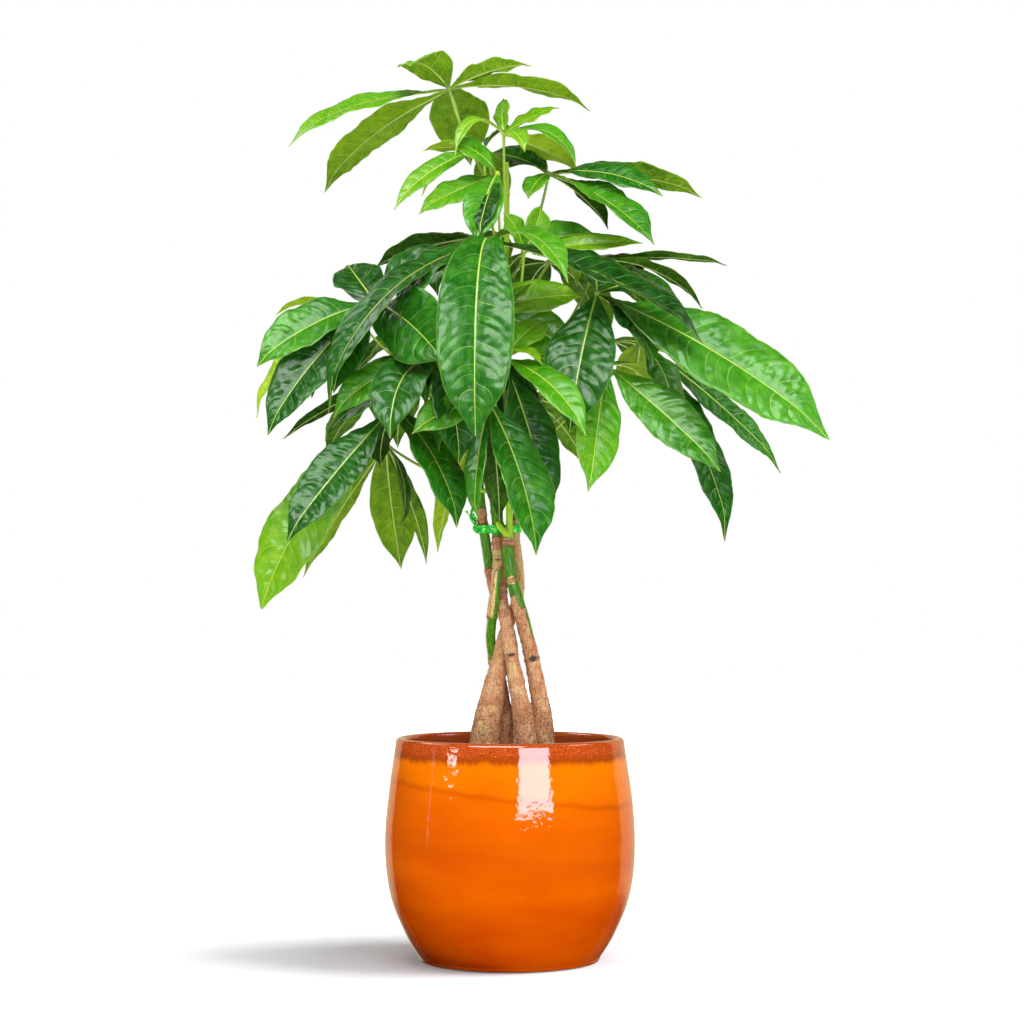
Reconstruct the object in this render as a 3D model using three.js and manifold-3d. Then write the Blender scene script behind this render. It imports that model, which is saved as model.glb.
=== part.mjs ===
// Potted money tree: five young trunks twisted together and tied, standing in soil in a round glazed
// pot, with hand-shaped leaves on long stalks. Millimetres, +Z up, the front faces -Y.
// The origin is the centre of the pot's flat underside.
import * as THREE from 'three';
import { mergeVertices } from 'three/addons/utils/BufferGeometryUtils.js';
import Module from 'manifold-3d';

const wasm = await Module();
wasm.setup();

// ---- Driving dimensions ----

const CLEARANCE = 0.3;

const POT_WALL = 7;
const POT_FLOOR = 9;
const POT_SIDES = 36;
const POT_OUTER_STEPS = 9;
const POT_INNER_STEPS = 4;
const POT_MOUTH_STEPS = 2;
const POT_LIP_STEPS = 4;
const POT_FINE_STEPS = 60;
// Outside of the pot as [radius, height], from the foot to just under the lip.
const POT_OUTLINE = [[70, 0], [83, 21], [95, 51], [99.4, 86], [97.6, 124], [91, 172.5]];

const SOIL_EDGE_HEIGHT = 148;
const SOIL_CROWN_HEIGHT = 153;
// Rings of the soil's crown, as shares of its radius.
const SOIL_RINGS = [0.8, 0.45];

const TRUNK_SIDES = 10;
const TRUNK_STEP = 16;
const TRUNK_STEP_LIMITS = [14, 34];
const HALVINGS = 30;

// Each trunk from its buried foot to the top of its shoot, as [x, y, z, radius].
const TRUNKS = [
  ["trunk_1", [
    [14, -13, 112, 9.8], [12.2, -13, 160, 9.6], [10.5, -12.5, 190, 8.4], [6.8, -12, 212, 6.8],
    [2.5, -10.5, 234, 5.6], [-1, -9, 252, 5], [-4, -6.5, 272, 4.6], [-6.2, -1, 285, 4.4],
    [-6.5, 3.6, 299, 4.1], [-6.8, 9.3, 318, 3.9], [-8.6, 9.4, 342, 3.7], [-9, 8.6, 380, 3.5],
    [-6, 7, 440, 3.3], [-4, 6, 500, 3.1], [-3, 5, 560, 2.8], [-2.5, 4, 605, 2.4],
    [-2.5, 3, 638, 1.8]]],
  ["trunk_2", [
    [29, -2, 112, 9], [27.2, -2, 165, 8.6], [26, -2, 190, 8], [22.6, -2, 212, 6.9],
    [18.3, -2, 234, 6], [14, -2.5, 254, 6], [9.4, -6, 272, 5.7], [5.5, -8.5, 287, 5.2],
    [1.5, -9, 301, 4.8], [-1.6, -10, 322, 4.7], [-1.4, -10.5, 332, 4.2], [-0.6, -10.5, 345, 3.2],
    [-1, -12, 370, 3], [-2, -14, 420, 2.7], [-2, -15, 465, 2.3], [-2, -15, 484, 1.8]]],
  ["trunk_3", [
    [-1, 14, 112, 9.4], [-3, 13, 165, 8.8], [-6.5, 13, 200, 7.2], [-9.5, 14, 222, 5.8],
    [-13.6, 11.8, 240, 4.7], [-15.6, 5, 256, 4.2], [-14.4, -2, 271, 4.1], [-13, -8, 284, 4.1],
    [-11.4, -8.4, 298, 4], [-9.8, -5.4, 314, 3.9], [-10.6, -3.6, 333, 3.8], [-11, -3.8, 345, 3.6],
    [-14, -6, 368, 3.3], [-18, -8, 392, 2.9], [-20, -9, 412, 2.2]]],
  ["trunk_4", [
    [19, 20, 112, 9.4], [17.5, 18.5, 165, 8.8], [8.5, 15.5, 203, 7], [2.5, 14.5, 230, 5.6],
    [0, 14.5, 256, 4.8], [-5, 14, 273, 4.5], [-9.5, 13, 285, 4.4], [-13.6, 10, 297, 4.3],
    [-16.6, 5, 313, 4.2], [-19.6, 1.5, 333, 4.3], [-22, 1, 347, 4.1], [-24, 1, 372, 3.7],
    [-28, 1, 410, 3.3], [-32, 1, 450, 2.8], [-34, 1, 472, 2.1]]],
  ["trunk_5", [
    [-23, -6, 112, 12.4], [-20.5, -5.5, 170, 12], [-17.6, -4.5, 190, 11], [-13.6, -2, 212, 9],
    [-8.9, 1, 234, 6.6], [-5.6, 3, 252, 5.2], [0.4, 4.5, 271, 4.6], [6, 4.8, 286, 4.3],
    [7.6, 4, 300, 4.1], [6.2, 3, 318, 3.8], [4.2, 2.4, 335, 3.6], [4.4, 2.4, 347, 3.5],
    [9, 3, 380, 3.4], [16, 4, 430, 3.1], [22, 4, 480, 2.6], [24, 4, 510, 1.9]]],
];

const TIED_TRUNKS = [0, 2, 3, 4];
const TIE_HEIGHT = 342;
const TIE_BAND = 6;
const TIE_THICKNESS = 0.8;
const TIE_GAP = 0.6;
const TIE_LOOP_POINTS = 16;
const TIE_TAIL_RADIUS = 0.9;
const TIE_TAIL_STEPS = 8;
const TIE_TAIL_SIDES = 4;
const TIE_KNOT = [-27.2, -3.4, 342.6];
const TIE_KNOT_RADIUS = 2.2;
const TIE_TAILS = [
  [[-27.2, -3.4, 342.6], [-28.5, -4, 347], [-31.5, -5, 351.5], [-35, -6, 356.5]],
  [[-27.2, -3.4, 342.6], [-28, -3.2, 349.5], [-30.4, -3.4, 354.5], [-29.6, -3, 361]],
];

const HUB_RADIUS = 2.4;
const STALK_RADIUS = 1.3;
const STALK_SIDES = 5;
const STALK_STEPS = 4;
const STALK_SAG = 0.05;
// Where a stalk's two bending points lie between the trunk and the hub.
const STALK_BENDS = [0.3, 0.7];

const BLADE_THICKNESS = 0.8;
const BLADE_ROOT_HALF_WIDTH = 0.8;
const BLADE_FOLD = THREE.MathUtils.degToRad(12);
// The outline is half a sine wave, its peak pushed toward the tip, which is drawn out to a point.
const OUTLINE_SKEW = 1.15;
const OUTLINE_FULLNESS = 0.95;
const TIP_NARROWING = 0.42;
const TIP_SHARPNESS = 9;
// Shares of the length at which a blade is cut into facets: more on the wide ones.
const BLADE_STATIONS = [0, 0.13, 0.36, 0.62, 0.85, 1];
const SMALL_BLADE_STATIONS = [0, 0.16, 0.45, 0.78, 1];
const SMALL_BLADE_WIDTH = 40;
const BLADE_WAVES = 2.5;
const BLADE_WAVE_HEIGHT = 0.035;
const HUB_LEAN = 0.3;
const FACE_TURN_END = 0.35;

const FAN_STEP = 46;
const FAN_TAPER = 0.13;
const FAN_LIFT = 0.2;
const FAN_ARCH = 0.14;

/** Five leaflets spread around a direction (0 right, 90 back), for the leaves at the back. */
const fan = (azimuth, reach, width, drop) => [-2, -1, 0, 1, 2].map((k) => {
  const angle = THREE.MathUtils.degToRad(azimuth + FAN_STEP * k);
  const share = 1 - FAN_TAPER * Math.abs(k);
  const [right, back] = [reach * share * Math.cos(angle), reach * share * Math.sin(angle)];
  return [right, back, -drop * (1 - FAN_LIFT * Math.abs(k)), width * share, FAN_ARCH, 0];
});

// Each leaf as [name, trunk it grows from, height on that trunk, hub, leaflets, young or not].
// A leaflet is [right, back, up, width, arch, face]: its tip seen from the hub, its width, how high
// it bows as a share of its length, and how far its upper face turns to the front, in degrees.
const LEAVES = [
  ["leaf_01", 0, 606, [-49, 10, 699], [
    [-31, -47, 10, 46, 0.17, 13], [66, -48, 10, 28, 0.05, -18], [115, -8, -17, 31, 0.08, -11],
    [-130, -21, -48, 31, 0.078, 35], [-107, 41, -75, 43, 0.068, -16], [16, 79, -48, 50, 0.161, 2]], 0],
  ["leaf_02", 0, 560, [-21, -4, 648], [
    [-49, -3, -1, 18, 0.028, -19], [-71, -34, -54, 20, 0.08, 50], [-52, 22, -34, 16, 0.1, 0],
    [12, 34, -44, 30, 0.12, 0]], 1],
  ["leaf_03", 0, 545, [31, 5, 629], [
    [90, -38, -24, 28, 0.089, 48], [126, 22, -12, 30, 0.055, -27], [82, -63, -66, 38, 0.057, 25],
    [51, 43, -37, 26, 0.063, 4], [-49, 41, 25, 41, 0.053, 47], [-17, -24, -24, 22, 0.1, 0]], 0],
  ["leaf_04", 0, 530, [-10, -28, 623], [
    [-16, -32, -60, 33, 0.09, 22], [-63, -8, -31, 31, 0.02, 32], [-38, -8, 24, 26, 0.12, 10],
    [-14, -36, -52, 24, 0.05, -5]], 1],
  ["leaf_05", 1, 470, [-15, -48, 566], [
    [-11, -69, -157, 61, 0.19, 12], [-129, -48, -136, 38, 0.147, 14],
    [166, -51, -80, 47, 0.056, 10], [60, -70, -40, 30, 0.2, 0]], 0],
  ["leaf_06", 3, 450, [-106, -45, 519], [
    [-91, -22, -51, 41, 0.062, 50], [-82, -30, -105, 44, 0.05, 50], [66, 8, 38, 44, 0.08, 40],
    [-25, 38, 36, 41, 0.02, 24], [55, -68, -52, 57, 0.063, 64]], 0],
  ["leaf_07", 3, 440, [-129, 25, 520], [
    [-64, 23, 1, 15, 0.12, -17], [-83, 14, -84, 28, 0.08, 40], [-30, 60, -30, 30, 0.16, 0],
    [20, 50, 10, 28, 0.1, 0]], 1],
  ["leaf_08", 2, 410, [-59, -52, 474], [
    [-32, -55, -66, 42, 0.199, 24], [-79, -12, -46, 30, 0.1, 50], [-122, 35, -59, 22, 0.03, -24],
    [-81, 1, -53, 34, 0.02, 30]], 0],
  ["leaf_09", 2, 372, [-99, -8, 410], [
    [-100, 1, -132, 58, 0.1, 55], [-71, 52, -105, 28, 0.02, -10], [11, 35, -100, 40, 0.16, -21],
    [12, 0, -68, 16, 0.14, 0], [33, 28, -95, 20, 0.05, 13], [-28, -36, -26, 26, 0.3, 0]], 1],
  ["leaf_10", 2, 385, [-91, -42, 436], [
    [-82, -40, -105, 40, 0.02, 50], [52, -25, -94, 46, 0.099, 0]], 0],
  ["leaf_11", 1, 380, [-16, -60, 438], [
    [37, -29, -118, 50, 0.08, -4], [-11, -20, -91, 21, 0.078, -16], [8, 26, -90, 25, 0.04, -16],
    [-59, -27, -25, 29, 0.092, 51], [-43, 52, -114, 26, 0.05, -10]], 0],
  ["leaf_12", 1, 410, [-5, -58, 473], [
    [63, -60, -62, 29, 0.1, 20], [35, 20, -122, 43, 0.03, 64], [34, 22, 33, 32, 0.1, 0],
    [30, -24, -6, 20, 0.2, 0]], 0],
  ["leaf_13", 4, 440, [68, -48, 525], [
    [175, -58, -115, 62, 0.04, 50], [-23, -37, -111, 56, 0.095, -6], [-10, 40, 34, 38, 0.1, 0],
    [72, 46, -6, 44, 0.15, 30]], 0],
  ["leaf_14", 4, 420, [104, -5, 491], [
    [117, 11, -101, 31, 0.03, 46], [71, -16, -158, 37, 0.054, 42], [-5, 40, -50, 36, 0.16, 0],
    [24, 28, 4, 26, 0.16, 0]], 0],
  ["leaf_15", 4, 405, [75, -40, 470], [
    [87, -39, -84, 39, 0.02, 59], [-14, -35, -101, 38, 0.02, 20], [40, 30, -20, 26, 0.16, 0]], 1],
  ["leaf_16", 4, 480, [71, 20, 562], [
    [106, 8, -2, 20, 0.031, -8], [87, 3, -39, 22, 0.115, -12], [36, 34, -18, 28, 0.2, 0],
    [58, 42, -46, 30, 0.12, 0]], 0],
  ["leaf_17", 0, 480, [11, -15, 563], [
    [37, -19, -6, 22, 0.076, 43], [95, -3, 7, 20, 0.02, 36], [60, 45, 20, 31, 0.07, 32],
    [14, 6, 38, 24, 0.1, 0], [44, 24, -24, 40, 0.2, 0]], 1],
  ["leaf_18", 3, 460, [-20, -26, 513], [
    [77, 4, 14, 32, 0.05, 45], [37, 2, 24, 14, 0.1, 20]], 1],
  ["leaf_19", 0, 510, [-30, 20, 580], [
    [-81, 21, -20, 28, 0.035, -26], [-60, 80, -30, 34, 0.15, 0], [0, 90, -20, 36, 0.15, 0],
    [30, 44, -16, 28, 0.15, 0]], 0],
  ["leaf_20", 0, 590, [-5, -14, 658], [
    [-1, 13, 31, 18, 0.07, -27], [44, 17, 26, 21, 0.02, 2], [59, -4, -28, 21, 0.233, 20],
    [-39, -33, -25, 12, 0.35, 20], [17, -36, -20, 18, 0.15, 0], [61, 34, -22, 30, 0.02, -28]], 1],
  ["leaf_21", 0, 520, [32, 66, 566], fan(62, 112, 38, 60), 0],
  ["leaf_22", 0, 470, [-42, 84, 520], fan(118, 118, 40, 66), 0],
  ["leaf_23", 4, 450, [84, 62, 500], fan(60, 118, 40, 70), 0],
  ["leaf_24", 3, 430, [-78, 62, 470], fan(150, 92, 38, 66), 0],
  ["leaf_25", 4, 425, [4, 96, 456], fan(94, 108, 42, 70), 0],
];

const COLOURS = {
  glaze: '#e8640c',
  soil: '#3b2a1e',
  bark: '#8f6546',
  tie: '#0f9a45',
  leaf: '#2f8a2c',
  youngLeaf: '#5cb41f',
};

// ---- Shared shapes ----

const UP = new THREE.Vector3(0, 0, 1);

/** A closed solid from a geometry: shared vertices merged and collapsed triangles dropped. */
function solidOf(geometry) {
  const bare = geometry.clone();
  bare.deleteAttribute('normal');
  bare.deleteAttribute('uv');
  const merged = mergeVertices(bare);
  const index = merged.index.array;
  const triangles = [];
  for (let i = 0; i < index.length; i += 3) {
    const [a, b, c] = index.subarray(i, i + 3);
    if (a !== b && b !== c && c !== a) triangles.push(a, b, c);
  }
  return new wasm.Manifold(new wasm.Mesh({
    numProp: 3,
    vertProperties: merged.attributes.position.array,
    triVerts: Uint32Array.from(triangles),
  }));
}

/** The geometry of a solid. */
function geometryOf(solid) {
  const mesh = solid.getMesh();
  const geometry = new THREE.BufferGeometry();
  geometry.setAttribute('position', new THREE.BufferAttribute(mesh.vertProperties, 3));
  geometry.setIndex(new THREE.BufferAttribute(mesh.triVerts, 1));
  geometry.computeVertexNormals();
  return geometry;
}

/** A closed skin over rings that all have the same number of points, with a fan on each end. */
function skinGeometry(rings) {
  const sides = rings[0].length;
  const centre = (ring) => ring.reduce((sum, p) => sum.add(p), new THREE.Vector3()).divideScalar(sides);
  const points = [...rings.flat(), centre(rings[0]), centre(rings.at(-1))];
  const first = points.length - 2;
  const last = points.length - 1;
  const index = [];
  for (let j = 0; j < sides; j++) {
    const k = (j + 1) % sides;
    for (let i = 0; i < rings.length - 1; i++) {
      const here = i * sides;
      const next = here + sides;
      index.push(here + j, here + k, next + k, here + j, next + k, next + j);
    }
    const end = (rings.length - 1) * sides;
    index.push(first, k, j, last, end + j, end + k);
  }
  const geometry = new THREE.BufferGeometry().setFromPoints(points);
  geometry.setIndex(index);
  return geometry;
}

/** A round tube along a curve, its radius given by a function of the curve's parameter. */
function tubeGeometry(curve, radiusAt, steps, sides) {
  const frames = curve.computeFrenetFrames(steps, false);
  const rings = [];
  for (let i = 0; i <= steps; i++) {
    const centre = curve.getPointAt(i / steps);
    const radius = radiusAt(curve.getUtoTmapping(i / steps));
    const ring = [];
    for (let j = 0; j < sides; j++) {
      const angle = (2 * Math.PI * j) / sides;
      const point = centre.clone();
      point.addScaledVector(frames.normals[i], radius * Math.cos(angle));
      point.addScaledVector(frames.binormals[i], radius * Math.sin(angle));
      ring.push(point);
    }
    rings.push(ring);
  }
  return skinGeometry(rings);
}

/** A value read from a list at a parameter from 0 to 1, in straight steps between its entries. */
function readAlong(values, t) {
  const place = t * (values.length - 1);
  const i = Math.min(Math.floor(place), values.length - 2);
  return THREE.MathUtils.lerp(values[i], values[i + 1], place - i);
}

const vectors = (rows) => rows.map(([x, y, z]) => new THREE.Vector3(x, y, z));

function meshOf(name, geometry, colour, roughness) {
  const material = new THREE.MeshStandardMaterial({ color: colour, roughness, metalness: 0 });
  const mesh = new THREE.Mesh(geometry, material);
  mesh.name = name;
  return mesh;
}

// ---- Pot and soil ----

/** Points up the outside of the pot, from the foot to the lip, as radius and height. */
function potSide(steps) {
  return new THREE.SplineCurve(POT_OUTLINE.map(([r, z]) => new THREE.Vector2(r, z))).getPoints(steps);
}

/** The outside radius of the pot at a height. */
function potRadiusAt(height) {
  const side = potSide(POT_FINE_STEPS);
  const above = Math.max(side.findIndex((p) => p.y >= height), 1);
  const [low, high] = [side[above - 1], side[above]];
  return THREE.MathUtils.mapLinear(height, low.y, high.y, low.x, high.x);
}

/** Points up the inside of the pot between two heights, pulled in from the outside by a distance. */
function potInside(inset, bottom, top, steps) {
  const side = [];
  for (let i = 0; i <= steps; i++) {
    const height = THREE.MathUtils.lerp(bottom, top, i / steps);
    side.push(new THREE.Vector2(potRadiusAt(height) - inset, height));
  }
  return side;
}

function latheAboutZ(profile) {
  return new THREE.LatheGeometry(profile, POT_SIDES).rotateX(Math.PI / 2);
}

function makePot() {
  const outer = potSide(POT_OUTER_STEPS);
  const rim = outer.at(-1);
  const lip = [];
  for (let i = 1; i < POT_LIP_STEPS; i++) {
    const angle = (Math.PI * i) / POT_LIP_STEPS;
    const half = POT_WALL / 2;
    lip.push(new THREE.Vector2(rim.x - half + half * Math.cos(angle), rim.y + half * Math.sin(angle)));
  }
  const inner = potInside(POT_WALL, POT_FLOOR, SOIL_EDGE_HEIGHT, POT_INNER_STEPS);
  const mouth = potInside(POT_WALL, SOIL_EDGE_HEIGHT, rim.y, POT_MOUTH_STEPS).slice(1);
  const down = [...inner, ...mouth].reverse();
  const onAxis = (height) => new THREE.Vector2(0, height);
  const profile = [onAxis(0), ...outer, ...lip, ...down, onAxis(POT_FLOOR)];
  return meshOf('pot', latheAboutZ(profile), COLOURS.glaze, 0.15);
}

/** Soil from the pot's floor to a low crown, with a plain hole for each trunk. */
function makeSoil() {
  const bottom = POT_FLOOR + CLEARANCE;
  const side = potInside(POT_WALL + CLEARANCE, bottom, SOIL_EDGE_HEIGHT, POT_INNER_STEPS);
  const crown = SOIL_RINGS.map((share) => new THREE.Vector2(
    side.at(-1).x * share,
    THREE.MathUtils.lerp(SOIL_CROWN_HEIGHT, SOIL_EDGE_HEIGHT, share ** 2),
  ));
  const axisBottom = new THREE.Vector2(0, bottom);
  const axisTop = new THREE.Vector2(0, SOIL_CROWN_HEIGHT);
  let soil = solidOf(latheAboutZ([axisBottom, ...side, ...crown, axisTop]));
  for (const [, rows] of TRUNKS) soil = soil.subtract(solidOf(trunkGeometry(rows, CLEARANCE)));
  return meshOf('soil', geometryOf(soil), COLOURS.soil, 1);
}

// ---- Trunks and tie ----

const trunkCurve = (rows) => new THREE.CatmullRomCurve3(vectors(rows));

/** A trunk, or with a margin the hole it stands in. */
function trunkGeometry(rows, margin = 0) {
  const foot = [...rows[0]];
  foot[2] -= margin;
  const curve = trunkCurve([foot, ...rows.slice(1)]);
  const radii = rows.map((row) => row[3] + margin);
  const steps = THREE.MathUtils.clamp(Math.round(curve.getLength() / TRUNK_STEP), ...TRUNK_STEP_LIMITS);
  return tubeGeometry(curve, (t) => readAlong(radii, t), steps, TRUNK_SIDES);
}

/** Centre and radius of a trunk where it passes a height. */
function trunkAt(trunk, height) {
  const rows = TRUNKS[trunk][1];
  const curve = trunkCurve(rows);
  let [low, high] = [0, 1];
  for (let i = 0; i < HALVINGS; i++) {
    const middle = (low + high) / 2;
    if (curve.getPoint(middle).z < height) low = middle;
    else high = middle;
  }
  return { centre: curve.getPoint(low), radius: readAlong(rows.map((row) => row[3]), low) };
}

/** The taut loop around some circles: the convex outline of points on them. */
function tautLoop(circles, margin) {
  const points = [];
  for (const { centre, radius } of circles) {
    for (let i = 0; i < TIE_LOOP_POINTS; i++) {
      const spoke = new THREE.Vector2(radius + margin, 0);
      spoke.rotateAround(new THREE.Vector2(), (2 * Math.PI * i) / TIE_LOOP_POINTS);
      points.push(spoke.add(centre));
    }
  }
  points.sort((a, b) => a.x - b.x || a.y - b.y);
  const chain = (list) => {
    const hull = [];
    for (const p of list) {
      while (hull.length > 1) {
        const [a, b] = hull.slice(-2);
        if (b.clone().sub(a).cross(p.clone().sub(a)) > 0) break;
        hull.pop();
      }
      hull.push(p);
    }
    return hull.slice(0, -1);
  };
  return [...chain(points), ...chain([...points].reverse())];
}

/** The ribbon around four of the trunks; the front one stands before it. */
function makeTie() {
  const edges = [TIE_HEIGHT - TIE_BAND / 2, TIE_HEIGHT + TIE_BAND / 2];
  const circles = edges.flatMap((height) => TIED_TRUNKS.map((trunk) => trunkAt(trunk, height)));
  const shape = new THREE.Shape(tautLoop(circles, TIE_GAP + TIE_THICKNESS));
  shape.holes.push(new THREE.Path(tautLoop(circles, TIE_GAP)));
  const band = new THREE.ExtrudeGeometry(shape, { depth: TIE_BAND, bevelEnabled: false });
  band.translate(0, 0, TIE_HEIGHT - TIE_BAND / 2);
  let tie = solidOf(band);
  tie = tie.add(solidOf(new THREE.IcosahedronGeometry(TIE_KNOT_RADIUS).translate(...TIE_KNOT)));
  for (const tail of TIE_TAILS) {
    const curve = new THREE.CatmullRomCurve3(vectors(tail));
    tie = tie.add(solidOf(tubeGeometry(curve, () => TIE_TAIL_RADIUS, TIE_TAIL_STEPS, TIE_TAIL_SIDES)));
  }
  return meshOf('tie', geometryOf(tie), COLOURS.tie, 0.3);
}

// ---- Leaves ----

/** Half the blade's width at a share of its length: widest past the middle, with a drawn-out tip. */
function bladeHalfWidth(t, width) {
  const swell = Math.sin(Math.PI * t ** OUTLINE_SKEW) ** OUTLINE_FULLNESS;
  const outline = swell * (1 - TIP_NARROWING * t ** TIP_SHARPNESS);
  return Math.max((outline * width) / 2, BLADE_ROOT_HALF_WIDTH);
}

/** One leaflet: a thin blade folded along its rib, bowed, turned and waved at its edges. */
function bladeGeometry(hub, [right, back, up, width, arch, face], phase) {
  const chord = new THREE.Vector3(right, back, up);
  const length = chord.length();
  const rise = UP.clone();
  rise.addScaledVector(new THREE.Vector3(right, back, 0), 1 / length);
  rise.addScaledVector(new THREE.Vector3(hub.x, hub.y, 0).normalize(), HUB_LEAN);
  rise.projectOnPlane(chord.clone().normalize()).normalize();
  const side = chord.clone().cross(rise).normalize();
  const fullTurn = -Math.sign(side.y) * THREE.MathUtils.degToRad(face);
  const stations = width < SMALL_BLADE_WIDTH ? SMALL_BLADE_STATIONS : BLADE_STATIONS;
  const rings = stations.map((t) => {
    const bow = arch * length;
    const rib = hub.clone().addScaledVector(chord, t).addScaledVector(rise, 4 * t * (1 - t) * bow);
    const tangent = chord.clone().addScaledVector(rise, 4 * (1 - 2 * t) * bow).normalize();
    const flat = side.clone().cross(tangent);
    const turn = fullTurn * THREE.MathUtils.smoothstep(t, 0, FACE_TURN_END);
    const normal = flat.clone().multiplyScalar(Math.cos(turn)).addScaledVector(side, Math.sin(turn));
    const across = side.clone().multiplyScalar(Math.cos(turn)).addScaledVector(flat, -Math.sin(turn));
    const half = bladeHalfWidth(t, width);
    const wave = BLADE_WAVE_HEIGHT * width * Math.sin(Math.PI * t);
    const pointAt = (q, lift) => {
      const ripple = wave * Math.abs(q) * Math.sin(2 * Math.PI * BLADE_WAVES * t + phase + q);
      const height = lift + Math.abs(q) * half * Math.sin(BLADE_FOLD) + ripple;
      const point = rib.clone().addScaledVector(across, q * half * Math.cos(BLADE_FOLD));
      return point.addScaledVector(normal, height);
    };
    const upper = [-1, 0, 1].map((q) => pointAt(q, BLADE_THICKNESS / 2));
    const under = [1, 0, -1].map((q) => pointAt(q, -BLADE_THICKNESS / 2));
    return [...upper, ...under];
  });
  return bladeSkin(rings);
}

/** Closes a blade's rings of six, with the same diagonals on its upper and under face. */
function bladeSkin(rings) {
  const index = [];
  const flip = (a, b, c, d) => index.push(a, b, c, a, c, d);
  const cross = (a, b, c, d) => index.push(a, b, d, b, c, d);
  for (let i = 0; i < rings.length - 1; i++) {
    const here = 6 * i;
    const next = here + 6;
    const quad = (j, k) => [here + j, here + k, next + k, next + j];
    flip(...quad(0, 1));
    flip(...quad(1, 2));
    flip(...quad(2, 3));
    cross(...quad(3, 4));
    cross(...quad(4, 5));
    flip(...quad(5, 0));
  }
  const end = 6 * (rings.length - 1);
  for (const [a, b, c, d] of [[0, 5, 4, 1], [1, 4, 3, 2]]) {
    index.push(a, b, c, a, c, d);
    index.push(end + a, end + c, end + b, end + a, end + d, end + c);
  }
  const geometry = new THREE.BufferGeometry().setFromPoints(rings.flat());
  geometry.setIndex(index);
  return geometry;
}

/** The stalk from just off its trunk to the hub. */
function stalkGeometry(trunk, height, hub) {
  const { centre, radius } = trunkAt(trunk, height);
  const outward = hub.clone().sub(centre).setZ(0).normalize();
  const toHub = hub.clone().sub(centre);
  const steepness = toHub.z / toHub.length();
  const start = centre.clone();
  start.addScaledVector(outward, radius + CLEARANCE + STALK_RADIUS * Math.abs(steepness));
  const sag = STALK_SAG * toHub.length();
  const bends = STALK_BENDS.map((share) => {
    const point = start.clone().lerp(hub, share);
    return point.addScaledVector(UP, -sag).addScaledVector(outward, sag);
  });
  const curve = new THREE.CubicBezierCurve3(start, ...bends, hub);
  return tubeGeometry(curve, () => STALK_RADIUS, STALK_STEPS, STALK_SIDES);
}

function makeLeaf([name, trunk, height, hubAt, leaflets, young]) {
  const hub = new THREE.Vector3(...hubAt);
  let leaf = solidOf(stalkGeometry(trunk, height, hub));
  leaf = leaf.add(solidOf(new THREE.OctahedronGeometry(HUB_RADIUS).translate(...hubAt)));
  leaflets.forEach((leaflet, i) => {
    leaf = leaf.add(solidOf(bladeGeometry(hub, leaflet, i)));
  });
  return meshOf(name, geometryOf(leaf), young ? COLOURS.youngLeaf : COLOURS.leaf, 0.35);
}

// ---- The plant ----

const plant = new THREE.Group();
plant.add(makePot(), makeSoil());
for (const [name, rows] of TRUNKS) plant.add(meshOf(name, trunkGeometry(rows), COLOURS.bark, 0.85));
plant.add(makeTie());
for (const leaf of LEAVES) plant.add(makeLeaf(leaf));

export default plant;
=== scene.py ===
"""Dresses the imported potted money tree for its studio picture.

Five young trunks are twisted together and tied with a foil ribbon. They stand in soil in a round
glazed pot, under a crown of hand-shaped leaves on long stalks. Sizes are in millimetres until a
mesh is made, +Z is up, the front faces -Y, and the origin is the centre of the pot's underside.
"""

from __future__ import annotations

import logging
import math
from dataclasses import dataclass
from enum import Enum
from typing import Any, Iterable

import bpy
import numpy as np
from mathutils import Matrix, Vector

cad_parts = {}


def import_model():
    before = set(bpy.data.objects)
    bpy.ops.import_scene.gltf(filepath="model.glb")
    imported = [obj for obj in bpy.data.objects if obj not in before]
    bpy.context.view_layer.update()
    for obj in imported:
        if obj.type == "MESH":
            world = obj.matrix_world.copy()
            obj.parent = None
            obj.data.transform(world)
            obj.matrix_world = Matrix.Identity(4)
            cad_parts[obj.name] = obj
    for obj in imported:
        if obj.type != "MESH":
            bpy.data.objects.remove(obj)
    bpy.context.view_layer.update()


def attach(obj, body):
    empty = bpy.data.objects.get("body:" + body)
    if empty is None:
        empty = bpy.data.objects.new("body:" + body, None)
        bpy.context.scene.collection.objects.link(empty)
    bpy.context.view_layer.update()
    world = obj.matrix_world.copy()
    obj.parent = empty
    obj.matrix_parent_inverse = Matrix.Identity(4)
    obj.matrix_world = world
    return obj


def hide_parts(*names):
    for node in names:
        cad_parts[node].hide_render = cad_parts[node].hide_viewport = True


log = logging.getLogger("money_tree")

Array = np.ndarray
Point = tuple[float, float, float]
Stops = tuple[tuple[float, str], ...]
METRE = 0.001
# What a Mapping node scales Object coordinates by, to give millimetres.
MILLIMETRES = (1000.0, 1000.0, 1000.0)
BODY = "root"
X_AXIS, Y_AXIS = np.array([1.0, 0.0, 0.0]), np.array([0.0, 1.0, 0.0])


class Age(Enum):
    """How old a leaf is, which sets its finish."""

    GROWN = "leaf"
    YOUNG = "young_leaf"


class Skin(Enum):
    """What covers a stretch of trunk."""

    GREEN = "green"
    TAN = "tan"
    SCAR = "scar"


class Seen(Enum):
    """Which surfaces a light reaches."""

    MIRRORED = "mirrored"
    MATT = "matt"


# ---- Numbers and curves ----


def unit(vectors: Array) -> Array:
    """Each vector divided by its own length."""
    return vectors / np.linalg.norm(vectors, axis=-1, keepdims=True)


def smooth_step(values: Array, low: float, high: float) -> Array:
    """0 below low and 1 above high, with the cubic 3s^2 - 2s^3 between them."""
    share = np.clip((values - low) / (high - low), 0.0, 1.0)
    return share * share * (3.0 - 2.0 * share)


def bell(values: Array, width: float | Array) -> Array:
    """A soft bump, the exponential of minus the square of value over width."""
    return np.exp(-((values / width) ** 2))


def circle(sides: int) -> Array:
    """Angles at equal steps once round, in radians."""
    return np.linspace(0, 2 * np.pi, sides, endpoint=False)


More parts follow.
